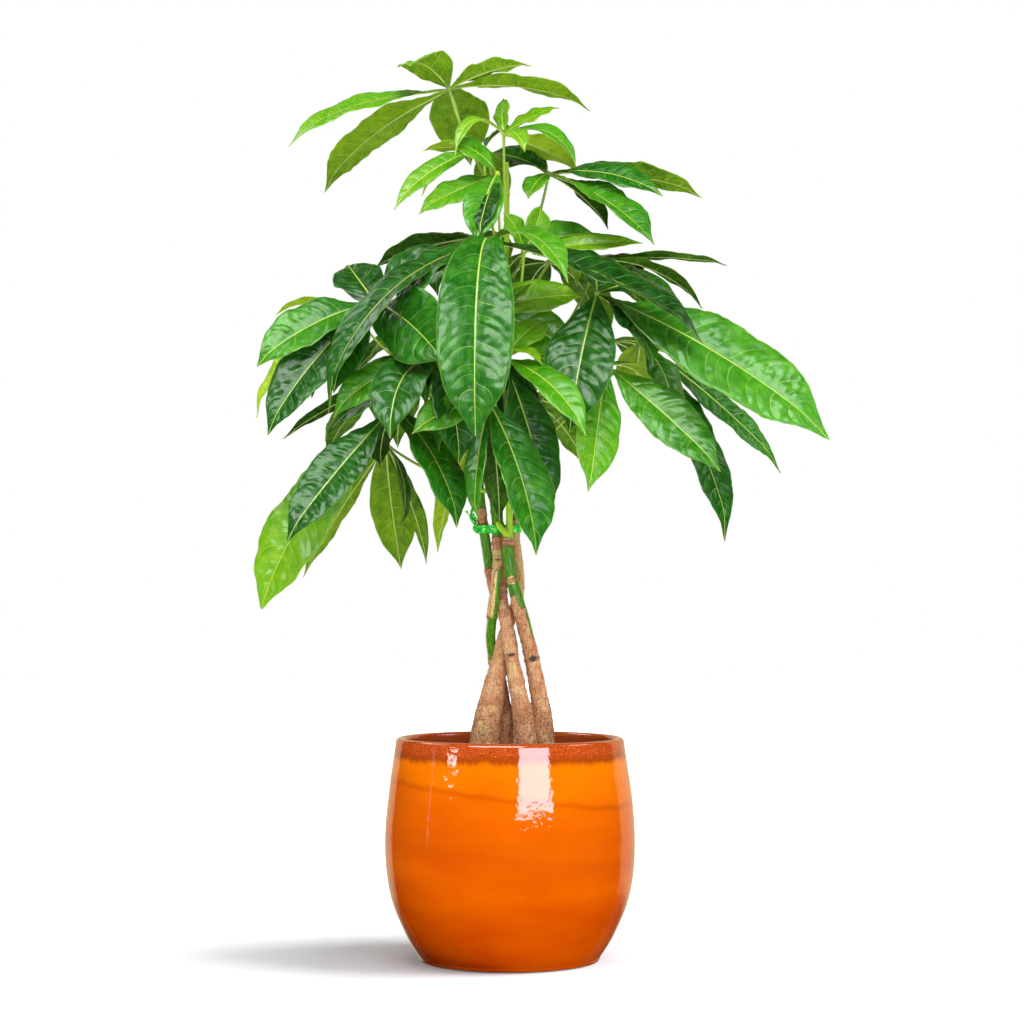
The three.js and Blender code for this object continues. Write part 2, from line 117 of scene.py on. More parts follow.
def lathe(radius: Array, height: Array, turns: Array) -> Array:
    """Points turned about the Z axis: (radius cos a, radius sin a, height)."""
    return np.stack([radius * np.cos(turns), radius * np.sin(turns), height * np.ones(len(turns))], -1)


def ball(rows: int, sides: int, margin: float) -> Array:
    """A ball of radius 1 in rings from below, the first and last a margin of angle from the poles."""
    polar = np.linspace(margin, np.pi - margin, rows)[::-1, None]
    return lathe(np.sin(polar), np.cos(polar), circle(sides))


def linear(colour: str) -> tuple[float, ...]:
    """Turns an sRGB hex colour, such as #a0b0c0, into the linear red, green, blue and alpha of 1."""
    shares = [int(colour[i : i + 2], 16) / 255.0 for i in (1, 3, 5)]
    return *(s / 12.92 if s <= 0.04045 else ((s + 0.055) / 1.055) ** 2.4 for s in shares), 1.0


class Ripples:
    """A smooth random field: many sine waves with random directions, seeded."""

    def __init__(self, seed: int, waves: int, lengths: Point) -> None:
        """Draws the waves.

        Args:
            seed: Seed of the draws.
            waves: How many there are.
            lengths: How long they typically are along X, Y and Z.
        """
        draw = np.random.default_rng(seed)
        self.directions = draw.normal(0.0, 1.0, (3, waves)) * 2.0 * np.pi / np.array(lengths)[:, None]
        self.starts = draw.uniform(0.0, 2.0 * np.pi, waves)

    def at(self, points: Array) -> Array:
        """The field, about -1 to 1, at points of shape (..., 3)."""
        waves = np.sin(points @ self.directions + self.starts)
        return waves.sum(axis=-1) / math.sqrt(2.0 * len(self.starts))


def stretches(ends: Array, along: Array) -> tuple[Array, Array, list[Array]]:
    """Finds the stretch of a curve that each place lies in.

    Args:
        ends: The curve's points, with one more before the first and after the last.
        along: Places, from 0 at the first point of the curve and 1 more at each next one.

    Returns:
        The number of each place's stretch, its share along it, and the four points about it.
    """
    i = np.minimum(along.astype(int), len(ends) - 4)
    return i, (along - i)[:, None], [ends[i + k] for k in range(4)]


def hermite(p1: Array, p2: Array, m1: Array, m2: Array, s: Array) -> Array:
    """The cubic from p1 to p2, with slope m1 at its start and m2 at its end, at shares s."""
    return p1 + m1 * s + (3 * (p2 - p1) - 2 * m1 - m2) * s**2 + (2 * (p1 - p2) + m1 + m2) * s**3


def centripetal(points: Array, places: Array) -> Array:
    """A centripetal Catmull-Rom curve through points.

    Each stretch is a cubic whose end slopes weigh the neighbouring chords by the square root of
    their lengths. The curve runs on past each end by the mirror image of the next point.

    Args:
        points: Rows of coordinates; the first three set the chords, any more just follow.
        places: Where to read the curve, from 0 at the first point to 1 at the last.

    Returns:
        One row for each place.
    """
    ends = np.vstack([2 * points[0] - points[1], points, 2 * points[-1] - points[-2]])
    spans = np.linalg.norm(np.diff(ends[:, :3], axis=0), axis=1) ** 0.5
    i, s, (p0, p1, p2, p3) = stretches(ends, np.clip(places, 0.0, 1.0) * (len(points) - 1))
    d0, d1, d2 = (spans[i + k][:, None] for k in range(3))
    m1 = ((p1 - p0) / d0 - (p2 - p0) / (d0 + d1) + (p2 - p1) / d1) * d1
    m2 = ((p2 - p1) / d1 - (p3 - p1) / (d1 + d2) + (p3 - p2) / d2) * d1
    return hermite(p1, p2, m1, m2, s)


def even_steps(path: Array, step: float) -> Array:
    """Sets the rows of a path an even step apart.

    Args:
        path: Rows that begin with a place in space.
        step: About how far apart they should be.

    Returns:
        The new rows, in a straight line between the old ones, the first and last kept.
    """
    run = np.concatenate([[0.0], np.cumsum(np.linalg.norm(np.diff(path[:, :3], axis=0), axis=1))])
    marks = np.linspace(0.0, run[-1], max(int(run[-1] / step), 3) + 1)
    return np.stack([np.interp(marks, run, column) for column in path.T], axis=1)


# ---- Meshes ----


@dataclass
class Surface:
    """A stretch of mesh: points in millimetres, faces, and what is known at each point."""

    points: Array
    faces: list[list[int]]
    slots: list[int]
    traits: dict[str, Array]


def join(parts: list[Surface]) -> Surface:
    """Puts surfaces into one.

    Args:
        parts: The surfaces, which carry the same traits.

    Returns:
        The whole.
    """
    faces: list[list[int]] = []
    count = 0
    for part in parts:
        faces += [[corner + count for corner in face] for face in part.faces]
        count += len(part.points)
    traits = {key: np.concatenate([part.traits[key] for part in parts]) for key in parts[0].traits}
    slots = [slot for part in parts for slot in part.slots]
    return Surface(np.concatenate([part.points for part in parts]), faces, slots, traits)


def tube_faces(count: int, sides: int) -> tuple[Array, Array, list[list[int]]]:
    """Numbers the points of an open tube.

    Args:
        count: How many rings it has.
        sides: How many points a ring has, turning right-handed about the way the rings run.

    Returns:
        Each point's number, the number of its neighbour in the ring, and the outward faces.
    """
    numbers = np.arange(count * sides).reshape(count, sides)
    onward = np.roll(numbers, -1, axis=1)
    quads = np.stack([numbers[:-1], onward[:-1], onward[1:], numbers[1:]], axis=-1)
    return numbers, onward, quads.reshape(-1, 4).tolist()


def skin(rings: Array, traits: dict[str, Array], slot: int = 0) -> Surface:
    """A closed skin over rings of points, with a fan on a middle point at each end.

    Args:
        rings: Points of shape (rings, sides, 3), turning right-handed about the way they run.
        traits: What is known at each ring point, of shape (rings, sides) or (rings, sides, 2).
        slot: The material slot.

    Returns:
        The surface, its faces outward.
    """
    count, sides = rings.shape[:2]
    numbers, onward, faces = tube_faces(count, sides)
    first = np.full(sides, count * sides)
    faces += np.stack([first, onward[0], numbers[0]], axis=-1).tolist()
    faces += np.stack([first + 1, numbers[-1], onward[-1]], axis=-1).tolist()

    def flat(values: Array) -> Array:
        """One row for each point, the two middle points last."""
        return np.concatenate([values.reshape(-1, *values.shape[2:]), values[[0, -1]].mean(axis=1)])

    flat_traits = {key: flat(value) for key, value in traits.items()}
    return Surface(flat(rings), faces, [slot] * len(faces), flat_traits)


def rings_along(path: Array, across: Array, radii: Array, turns: Array) -> Array:
    """Circles carried along a path: centre + radius (cos a . across + sin a . tangent x across).

    Args:
        path: Centres, of shape (n, 3).
        across: A direction that the path never runs along, or one for each centre.
        radii: Radius at each centre and turn, of shape (n, sides) or (n, 1).
        turns: The angles a, of shape (sides,).

    Returns:
        Points of shape (n, sides, 3).
    """
    tangent = unit(np.gradient(path, axis=0))
    aim = np.broadcast_to(across, path.shape)
    side = unit(aim - (aim * tangent).sum(axis=1, keepdims=True) * tangent)
    other = np.cross(tangent, side)
    out = np.cos(turns)[None, :, None] * side[:, None] + np.sin(turns)[None, :, None] * other[:, None]
    return path[:, None] + radii[..., None] * out


def add_piece(
    name: str, surface: Surface, materials: Iterable[bpy.types.Material], node: str
) -> None:
    """Makes an object of a surface, in metres, attaches it to the body and hides the CAD node that it
    stands for.

    Args:
        name: Name of the piece.
        surface: Its points, faces, material slots and traits.
        materials: One material for each slot number.
        node: The CAD node that it replaces.
    """
    mesh = bpy.data.meshes.new(name)
    mesh.from_pydata(surface.points * METRE, [], surface.faces)
    for material in materials:
        mesh.materials.append(material)
    mesh.polygons.foreach_set("material_index", surface.slots)
    mesh.shade_smooth()
    corners = np.empty(len(mesh.loops), dtype=np.int32)
    mesh.loops.foreach_get("vertex_index", corners)
    for key, value in surface.traits.items():
        if value.ndim == 2:
            layer = mesh.uv_layers.new(name=key)
            layer.uv.foreach_set("vector", value[corners].astype(np.float32).ravel())
        else:
            trait = mesh.attributes.new(key, "FLOAT", "POINT")
            trait.data.foreach_set("value", value.astype(np.float32))
    mesh.update()
    piece = bpy.data.objects.new(name, mesh)
    bpy.context.scene.collection.objects.link(piece)
    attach(piece, BODY)
    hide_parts(node)
    log.info("%s: %d faces", name, len(mesh.polygons))


# ---- Materials ----


class Recipe:
    """A node material, or a world, being put together."""

    def __init__(self, name: str, shelf: str = "materials") -> None:
        """Starts one with no nodes.

        Args:
            name: Its name.
            shelf: The part of bpy.data that keeps it, materials or worlds.
        """
        self.owner = getattr(bpy.data, shelf).new(name)
        self.owner.use_nodes = True
        self.tree = self.owner.node_tree
        self.tree.nodes.clear()

    def add(self, kind: str, *values: Any, stops: Stops = (), **named: Any) -> bpy.types.Node:
        """Adds a node with its settings and links.

        Args:
            kind: The node's type without the words ShaderNode, and after a dot its operation or
                its type of data.
            *values: Values or nodes for its sockets in use, in their order. A node stands for its
                first output in use, a socket for itself, and a hex colour for its linear value.
            stops: A ramp's places and colours.
            **named: The same for sockets by name, with a capital letter first and _ for a space,
                and properties of the node in small letters.

        Returns:
            The new node.
        """
        kind, _, choice = kind.partition(".")
        node = self.tree.nodes.new("ShaderNode" + kind)
        if choice:
            setattr(node, "data_type" if kind == "Mix" else "operation", choice)
        by_name = {key.replace("_", " "): named.pop(key) for key in list(named) if key[0].isupper()}
        for key, value in named.items():
            setattr(node, key, value)
        for i, (place, colour) in enumerate(stops):
            elements = node.color_ramp.elements
            element = elements[i] if i < 2 else elements.new(place)
            element.position, element.color = place, linear(colour)
        in_use = [socket for socket in node.inputs if socket.enabled]
        by_place = list(zip(in_use, values))
        for socket, value in by_place + [(node.inputs[key], value) for key, value in by_name.items()]:
            if isinstance(value, bpy.types.Node):
                value = next(output for output in value.outputs if output.enabled)
            if isinstance(value, bpy.types.NodeSocket):
                self.tree.links.new(value, socket)
            else:
                socket.default_value = linear(value) if isinstance(value, str) else value
        return node

    def finish(self, shader: bpy.types.Node) -> bpy.types.Material:
        """Joins the shader to the output and hands over the material."""
        self.add("OutputMaterial", shader)
        return self.owner


@dataclass(frozen=True)
class LeafFinish:
    """Living leaf skin: a waxy semi-gloss blade with a pale rib, pinnate veins and fine netting.

    The upper face has a thin wax film, so it shines in soft streaks between the sunken veins. The
    under face has no film, is paler and more olive, and its veins stand out.
    """

    name: str
    blade: Stops
    veins: Stops
    rib: str
    roughness: float
    vein_share: float
    net_share: float
    relief: float
    wax: float = 0.0
    shine: float = 0.5
    # Rungs of the ladder veins, about 3 mm apart.
    net_cell: float = 3.0
    mottle: float = 9.0
    grain: float = 0.9

    def material(self) -> bpy.types.Material:
        """Builds the node material.

        Returns:
            The material.
        """
        r = Recipe(self.name)
        veins = r.add("SeparateXYZ", r.add("UVMap", uv_map="veins"))
        blade = r.add("SeparateXYZ", r.add("UVMap", uv_map="blade"))
        vein_count, from_rib = veins.outputs["X"], veins.outputs["Y"]
        # The tone is partly the blade's own green and partly painted light and shade, set leaflet by
        # leaflet: lower where a leaflet sits in shade, higher where it catches light.
        tone = r.add("Attribute", attribute_name="tone").outputs["Fac"]
        place = r.add("Mapping", Vector=r.add("TexCoord").outputs["Object"], Scale=MILLIMETRES)
        mottle = r.add("TexNoise", Vector=place, Scale=1.0 / self.mottle, Detail=3.0)
        grain = r.add("TexNoise", Vector=place, Scale=1.0 / self.grain, Detail=2.0)
        # Distance from the nearest side vein, as a share of their spacing.
        turned = r.add("Math.FRACT", r.add("Math.ADD", vein_count, 0.5))
        off_vein = r.add("Math.ABSOLUTE", r.add("Math.SUBTRACT", turned, 0.5))
        edge = r.add("Math.ABSOLUTE", blade.outputs["Y"])
        line = r.add("MapRange", off_vein, 0.006, 0.036, 1.0, 0.0)
        line = r.add("Math.MULTIPLY", line, r.add("MapRange", edge, 0.6, 0.97, 1.0, 0.15))
        # The rib is 1.3 mm wide at the root and thins to a third of it at the tip.
        narrow = r.add("MapRange", blade.outputs["X"], 0.0, 1.0, 0.95, 0.3)
        off_rib = r.add("Math.DIVIDE", r.add("Math.ABSOLUTE", from_rib), narrow)
        rib = r.add("MapRange", off_rib, 0.45, 1.05, 1.0, 0.0)
        # Ladder veins join the side veins: cells stretched across the gaps between them.
        level = r.add("Math.MULTIPLY", vein_count, 1.25)
        out = r.add("Math.MULTIPLY", from_rib, 1.0 / self.net_cell)
        shaken = r.add("VectorMath.MULTIPLY", grain.outputs["Color"], (0.5, 0.5, 0.0))
        rungs = r.add("VectorMath.ADD", r.add("CombineXYZ", level, out, 0.0), shaken)
        net = r.add("TexVoronoi", Vector=rungs, Scale=1.0, feature="DISTANCE_TO_EDGE")
        net = r.add("MapRange", net, 0.0, 0.1, 1.0, 0.0)

        # Painted shade: the blade is darkened a little along each side vein, where shade falls in its
        # sunken groove.
        vein_groove_shade = r.add("MapRange", off_vein, 0.0, 0.5, 1.0, 0.0)
        shade = r.add("Math.ADD", r.add("MapRange", mottle, 0.3, 0.7, -0.1, 0.1), tone)
        shade = r.add("Math.MULTIPLY_ADD", vein_groove_shade, -0.03, shade)
        colour = r.add("ValToRGB", shade, stops=self.blade)
        vein_colour = r.add("ValToRGB", tone, stops=self.veins)
        for share, over in (
            (r.add("Math.MULTIPLY", net, self.net_share), vein_colour),
            (r.add("Math.MULTIPLY", line, self.vein_share), vein_colour),
            (r.add("MapRange", edge, 0.955, 0.995, 0.0, 0.55), vein_colour),
            (rib, self.rib),
        ):
            colour = r.add("Mix.RGBA", share, colour, over)
        # The blade puffs up between veins and netting, under a fine grain.
        height = r.add("MapRange", off_vein, 0.0, 0.3, 0.0, 0.8)
        for part, weight in ((line, -0.7), (net, -0.3), (grain, 0.3), (rib, 0.9)):
            height = r.add("Math.MULTIPLY_ADD", part, weight, height)
        shader = r.add(
            "BsdfPrincipled",
            Base_Color=colour,
            Roughness=r.add("MapRange", mottle, 0.3, 0.7, self.roughness - 0.06, self.roughness + 0.08),
            IOR=1.4,
            Specular_IOR_Level=self.shine,
            Normal=r.add("Bump", Height=height, Strength=self.relief, Distance=0.0004),
            Coat_Weight=self.wax,
            Coat_Roughness=0.16,
            Subsurface_Weight=0.3,
            Subsurface_Radius=(0.7, 1.0, 0.1),
            Subsurface_Scale=0.0012,
        )
        return r.finish(shader)


@dataclass(frozen=True)
class StalkFinish:
    """Leaf stalk: smooth fresh green rind with lighter streaks along it and a soft sheen."""

    name: str
    light: str
    deep: str

    def material(self) -> bpy.types.Material:
        """Builds the node material.

        Returns:
            The material.
        """
        r = Recipe(self.name)
        place = r.add("Mapping", Vector=r.add("TexCoord").outputs["Object"], Scale=MILLIMETRES)
        broad = r.add("TexNoise", Vector=place, Scale=0.06, Detail=2.0)
        streak = r.add("TexNoise", Vector=place, Scale=0.9, Detail=2.0)
        blend = r.add("Mix.FLOAT", 0.35, broad, streak)
        shader = r.add(
            "BsdfPrincipled",
            Base_Color=r.add("ValToRGB", blend, stops=((0.35, self.deep), (0.65, self.light))),
            Roughness=0.42,
            IOR=1.45,
            Normal=r.add("Bump", Height=streak, Strength=0.3, Distance=0.0002),
        )
        return r.finish(shader)


@dataclass(frozen=True)
class BarkFinish:
    """Young trunk: cork over green rind. Where the cork hasn't closed, the smooth rind shows.

    The cork is matt, cracked along the trunk about a millimetre apart, wrinkled across it, and
    sown with tan pores 2 to 4 mm long. Toward the foot it is thickly speckled with dark grains.
    The rind is satin green. A torn brown edge of cork runs round each stretch of it.
    """

    name: str = "cork_and_green_rind"
    # The speckle thins out between these heights, in mm.
    speckled: tuple[float, float] = (176.0, 226.0)

    def material(self) -> bpy.types.Material:
        """Builds the node material.

        Returns:
            The material.
        """
        r = Recipe(self.name)
        where = r.add("TexCoord").outputs["Object"]
        plain = r.add("Mapping", Vector=where, Scale=MILLIMETRES)
        along = r.add("Mapping", Vector=where, Scale=(900.0, 900.0, 110.0))
        across = r.add("Mapping", Vector=where, Scale=(170.0, 170.0, 620.0))
        fibre = r.add("TexNoise", Vector=along, Scale=1.0, Detail=5.0, Roughness=0.62)
        wrinkle = r.add("TexNoise", Vector=across, Scale=1.0, Detail=3.0)
        broad = r.add("TexNoise", Vector=plain, Scale=0.09, Detail=4.0)
        grit = r.add("TexNoise", Vector=plain, Scale=0.5, Detail=5.0, Roughness=0.7)
        speck = r.add("TexNoise", Vector=plain, Scale=0.62, Detail=4.0, Roughness=0.75)
        # Pores: a few cells of a stretched pattern, their rims frayed by the grit.
        frayed = r.add("VectorMath.MULTIPLY", grit.outputs["Color"], (2.4, 2.4, 5.0))
        frayed = r.add("VectorMath.ADD", plain, frayed)
        pores = r.add("Mapping", Vector=frayed, Scale=(0.2, 0.2, 0.1))
        cell = r.add("TexVoronoi", Vector=pores, Scale=1.0, Randomness=1.0)
        chosen = r.add("SeparateXYZ", cell.outputs["Color"]).outputs["X"]
        dot = r.add("MapRange", cell.outputs["Distance"], 0.14, 0.22, 1.0, 0.0)
        pore = r.add("Math.MULTIPLY", dot, r.add("MapRange", chosen, 0.7, 0.74, 0.0, 1.0))

        browns = ((0.27, "#6e3a1c"), (0.42, "#c68050"), (0.56, "#eaac78"), (0.7, "#fedcae"))
        tints = ((0.36, "#b8643c"), (0.5, "#e09c66"), (0.64, "#f6ca92"))
        greens = ((0.3, "#2e640c"), (0.5, "#4c8c14"), (0.7, "#7cb42c"))
        tans = ((0.3, "#b88448"), (0.5, "#e4b876"), (0.7, "#f2d49c"))
        creased = r.add("MapRange", wrinkle, 0.58, 0.7, 0.0, 0.4)
        level = r.add("SeparateXYZ", plain).outputs["Z"]
        low = r.add("MapRange", level, self.speckled[0], self.speckled[1], 1.0, 0.25)
        dark = r.add("Math.MULTIPLY", r.add("MapRange", speck, 0.5, 0.64, 0.0, 0.85), low)
        colour = r.add("ValToRGB", fibre, stops=browns)
        for share, over in (
            (0.42, r.add("ValToRGB", broad, stops=tints)),
            (creased, "#8a4e2c"),
            (dark, "#54361f"),
            (r.add("MapRange", speck, 0.44, 0.34, 0.0, 0.5), "#f4d8b2"),
            (pore, "#f0c684"),
        ):
            colour = r.add("Mix.RGBA", share, colour, over)
        ragged = r.add("MapRange", r.add("Mix.FLOAT", 0.5, grit, broad), 0.3, 0.7, -0.42, 0.42)
        shares, torn = {}, {}
        for key in ("ring", "green", "tan", "fresh"):
            skin_share = r.add("Attribute", attribute_name=key).outputs["Fac"]
            amount = r.add("Math.ADD", skin_share, ragged)
            shares[key] = r.add("MapRange", amount, 0.46, 0.54, 0.0, 1.0)
            off = r.add("Math.ABSOLUTE", r.add("Math.SUBTRACT", amount, 0.46))
            torn[key] = r.add("MapRange", off, 0.02, 0.12, 0.8, 0.0)
        for share, over in (
            (shares["ring"], "#cc8260"),
            (torn["ring"], "#9a5836"),
            (shares["green"], r.add("ValToRGB", fibre, stops=greens)),
            (shares["tan"], r.add("ValToRGB", fibre, stops=tans)),
            (torn["green"], "#6c3c1a"),
            (shares["fresh"], r.add("ValToRGB", fibre, stops=((0.3, "#84b80c"), (0.7, "#b4dc2c")))),
            (r.add("Attribute", attribute_name="scar").outputs["Fac"], "#40401c"),
        ):
            colour = r.add("Mix.RGBA", share, colour, over)
        smooth = r.add("Math.MAXIMUM", shares["green"], shares["fresh"])
        depth = r.add("MapRange", smooth, 0.0, 1.0, 1.0, 0.12)
        height = fibre
        for part, weight in ((pore, 0.5), (grit, 1.0), (creased, -1.0)):
            height = r.add("Math.MULTIPLY_ADD", part, weight, height)
        height = r.add("Math.MULTIPLY", height, depth)
        shader = r.add(
            "BsdfPrincipled",
            Base_Color=colour,
            Roughness=r.add("MapRange", smooth, 0.0, 1.0, 0.8, 0.3),
            IOR=1.45,
            Normal=r.add("Bump", Height=height, Strength=1.0, Distance=0.0013),
        )
        return r.finish(shader)


@dataclass(frozen=True)
class GlazeFinish:
    """Stoneware under a thick orange glaze, dipped twice and fired glossy.

    The glaze breaks to speckled red-brown where it runs thin, on the rim and at the foot. Each dip
    left a darker line: one under the rim, and one lower down that sinks from left to right.
    """

    name: str = "orange_stoneware_glaze"
    rim_line: float = 164.0
    dip_line: float = 134.0
    dip_sink: float = 10.0
    # Down the pot, as shares of the height 1.25 times that of the dip line.
    body: Stops = (
        (0.0, "#962a02"), (0.03, "#b63a00"), (0.12, "#c24200"), (0.3, "#cc4a00"), (0.42, "#da5800"),
        (0.53, "#ca4a00"), (0.66, "#d85800"), (0.78, "#e26400"), (0.8, "#c85200"), (0.822, "#ea7000"),
        (0.95, "#f07800"),
    )
    rim: Stops = ((0.3, "#7a2606"), (0.45, "#b0400e"), (0.57, "#c4521c"), (0.72, "#e08a54"))

    def material(self) -> bpy.types.Material:
        """Builds the node material.

        Returns:
            The material.
        """
        r = Recipe(self.name)
        where = r.add("TexCoord").outputs["Object"]
        plain = r.add("Mapping", Vector=where, Scale=MILLIMETRES)
        axes = r.add("SeparateXYZ", plain)
        flat = r.add("CombineXYZ", axes.outputs["X"], axes.outputs["Y"], 0.0)
        radius = r.add("VectorMath.LENGTH", flat).outputs["Value"]
        rightness = r.add("Math.DIVIDE", axes.outputs["X"], radius)
        wander = r.add("TexNoise", Vector=flat, Scale=0.035, Detail=3.0)
        wander = r.add("MapRange", wander, 0.3, 0.7, -1.8, 1.8)
        height = r.add("Math.ADD", axes.outputs["Z"], wander)
        dipped = r.add("Math.MULTIPLY_ADD", rightness, self.dip_sink, height)
        down = r.add("MapRange", dipped, 0.0, self.dip_line / 0.8, 0.0, 1.0)
        banks = r.add("Mapping", Vector=where, Scale=(12.0, 12.0, 36.0))
        cloud = r.add("TexNoise", Vector=banks, Scale=1.0, Detail=4.0)
        fleck = r.add("TexNoise", Vector=plain, Scale=0.85, Detail=3.0, Roughness=0.75)
        # Under the rim the thin glaze bled down in fine short streaks.
        streaks = r.add("Mapping", Vector=where, Scale=(420.0, 420.0, 14.0))
        bled = r.add("TexNoise", Vector=streaks, Scale=1.0, Detail=2.0)
        height = r.add("Math.ADD", height, r.add("MapRange", bled, 0.3, 0.7, -0.9, 0.9))
        above = r.add("MapRange", height, self.rim_line - 3.5, self.rim_line + 1.5, 0.0, 1.0)
        off = r.add("Math.ABSOLUTE", r.add("Math.SUBTRACT", height, self.rim_line - 1.0))
        foot, inside = (r.add("Attribute", attribute_name=key).outputs["Fac"] for key in ("foot", "inside"))
        colour = r.add("ValToRGB", down, stops=self.body)
        for share, over in (
            (0.25, r.add("ValToRGB", cloud, stops=((0.32, "#b84000"), (0.68, "#f07c00")))),
            (r.add("MapRange", fleck, 0.54, 0.7, 0.0, 0.6), "#b84800"),
            (above, r.add("ValToRGB", fleck, stops=self.rim)),
            (r.add("MapRange", off, 0.3, 4.8, 0.75, 0.0), "#8c3208"),
            # The inside took one thin dip: red-brown all the way down.
            (inside, "#b85428"),
            (foot, "#b07a58"),
        ):
            colour = r.add("Mix.RGBA", share, colour, over)
        ripple = r.add("TexNoise", Vector=plain, Scale=0.045, Detail=2.0)
        peel = r.add("TexNoise", Vector=plain, Scale=0.2, Detail=1.0, Roughness=0.5)
        uneven = r.add("Mix.FLOAT", 0.55, ripple, peel)
        shader = r.add(
            "BsdfPrincipled",
            Base_Color=colour,
            Roughness=r.add("MapRange", foot, 0.0, 1.0, 0.035, 0.8),
            IOR=1.52,
            Coat_Weight=0.5,
            Coat_Roughness=0.02,
            Normal=r.add("Bump", Height=uneven, Strength=0.5, Distance=0.0008),
        )
        return r.finish(shader)


@dataclass(frozen=True)
class SoilFinish:
    """Potting soil: damp dark peat crumbs, matt, with a few pale fibres, and painted shade that makes the
    pits nearly black.
    """

    name: str = "damp_potting_soil"

    def material(self) -> bpy.types.Material:
        """Builds the node material.

        Returns:
            The material.
        """
        r = Recipe(self.name)
        place = r.add("Mapping", Vector=r.add("TexCoord").outputs["Object"], Scale=MILLIMETRES)
        crumb = r.add("TexNoise", Vector=place, Scale=0.45, Detail=6.0, Roughness=0.7)
        lump = r.add("TexNoise", Vector=place, Scale=0.09, Detail=3.0)
        chip = r.add("TexVoronoi", Vector=place, Scale=0.28)
        picked = r.add("SeparateXYZ", chip.outputs["Color"]).outputs["Y"]
        picked = r.add("MapRange", picked, 0.86, 0.9, 0.0, 0.8)
        near = r.add("MapRange", chip.outputs["Distance"], 0.2, 0.32, 1.0, 0.0)
        # Painted shade: the crumb pattern that raises the bump also darkens its pits to nearly black.
        colour = r.add("ValToRGB", crumb, stops=((0.3, "#150d08"), (0.5, "#35241a"), (0.7, "#5a4230")))
        for share, over in (
            (0.4, r.add("ValToRGB", lump, stops=((0.35, "#22160e"), (0.65, "#4a3424")))),
            (r.add("Math.MULTIPLY", picked, near), "#9c8464"),
        ):
            colour = r.add("Mix.RGBA", share, colour, over)
        bump = r.add("Bump", Height=crumb, Strength=0.9, Distance=0.0015)
        return r.finish(r.add("BsdfPrincipled", Base_Color=colour, Roughness=0.95, Normal=bump))


@dataclass(frozen=True)
class FoilFinish:
    """Florist's ribbon: clear green polypropylene over foil, creased. Its glossy coat gives sharp bright
    glints, and painted highlights pale its colour to near white on the crease ridges.
    """

    name: str = "green_foil_ribbon"
    # The palest stops are painted glints, laid on the crease ridges.
    greens: Stops = ((0.32, "#008420"), (0.44, "#04cc30"), (0.55, "#48f050"), (0.66, "#d8ff90"))

    def material(self) -> bpy.types.Material:
        """Builds the node material.

        Returns:
            The material.
        """
        r = Recipe(self.name)
        place = r.add("Mapping", Vector=r.add("TexCoord").outputs["Object"], Scale=MILLIMETRES)
        crease = r.add("TexNoise", Vector=place, Scale=0.3, Detail=2.0, Distortion=1.2)
        shader = r.add(
            "BsdfPrincipled",
            Base_Color=r.add("ValToRGB", crease, stops=self.greens),
            Metallic=0.2,
            Roughness=0.16,
            Coat_Weight=0.8,
            Coat_Roughness=0.06,
            Normal=r.add("Bump", Height=crease, Strength=0.9, Distance=0.0008),
        )
        return r.finish(shader)


# ---- Pot and soil ----


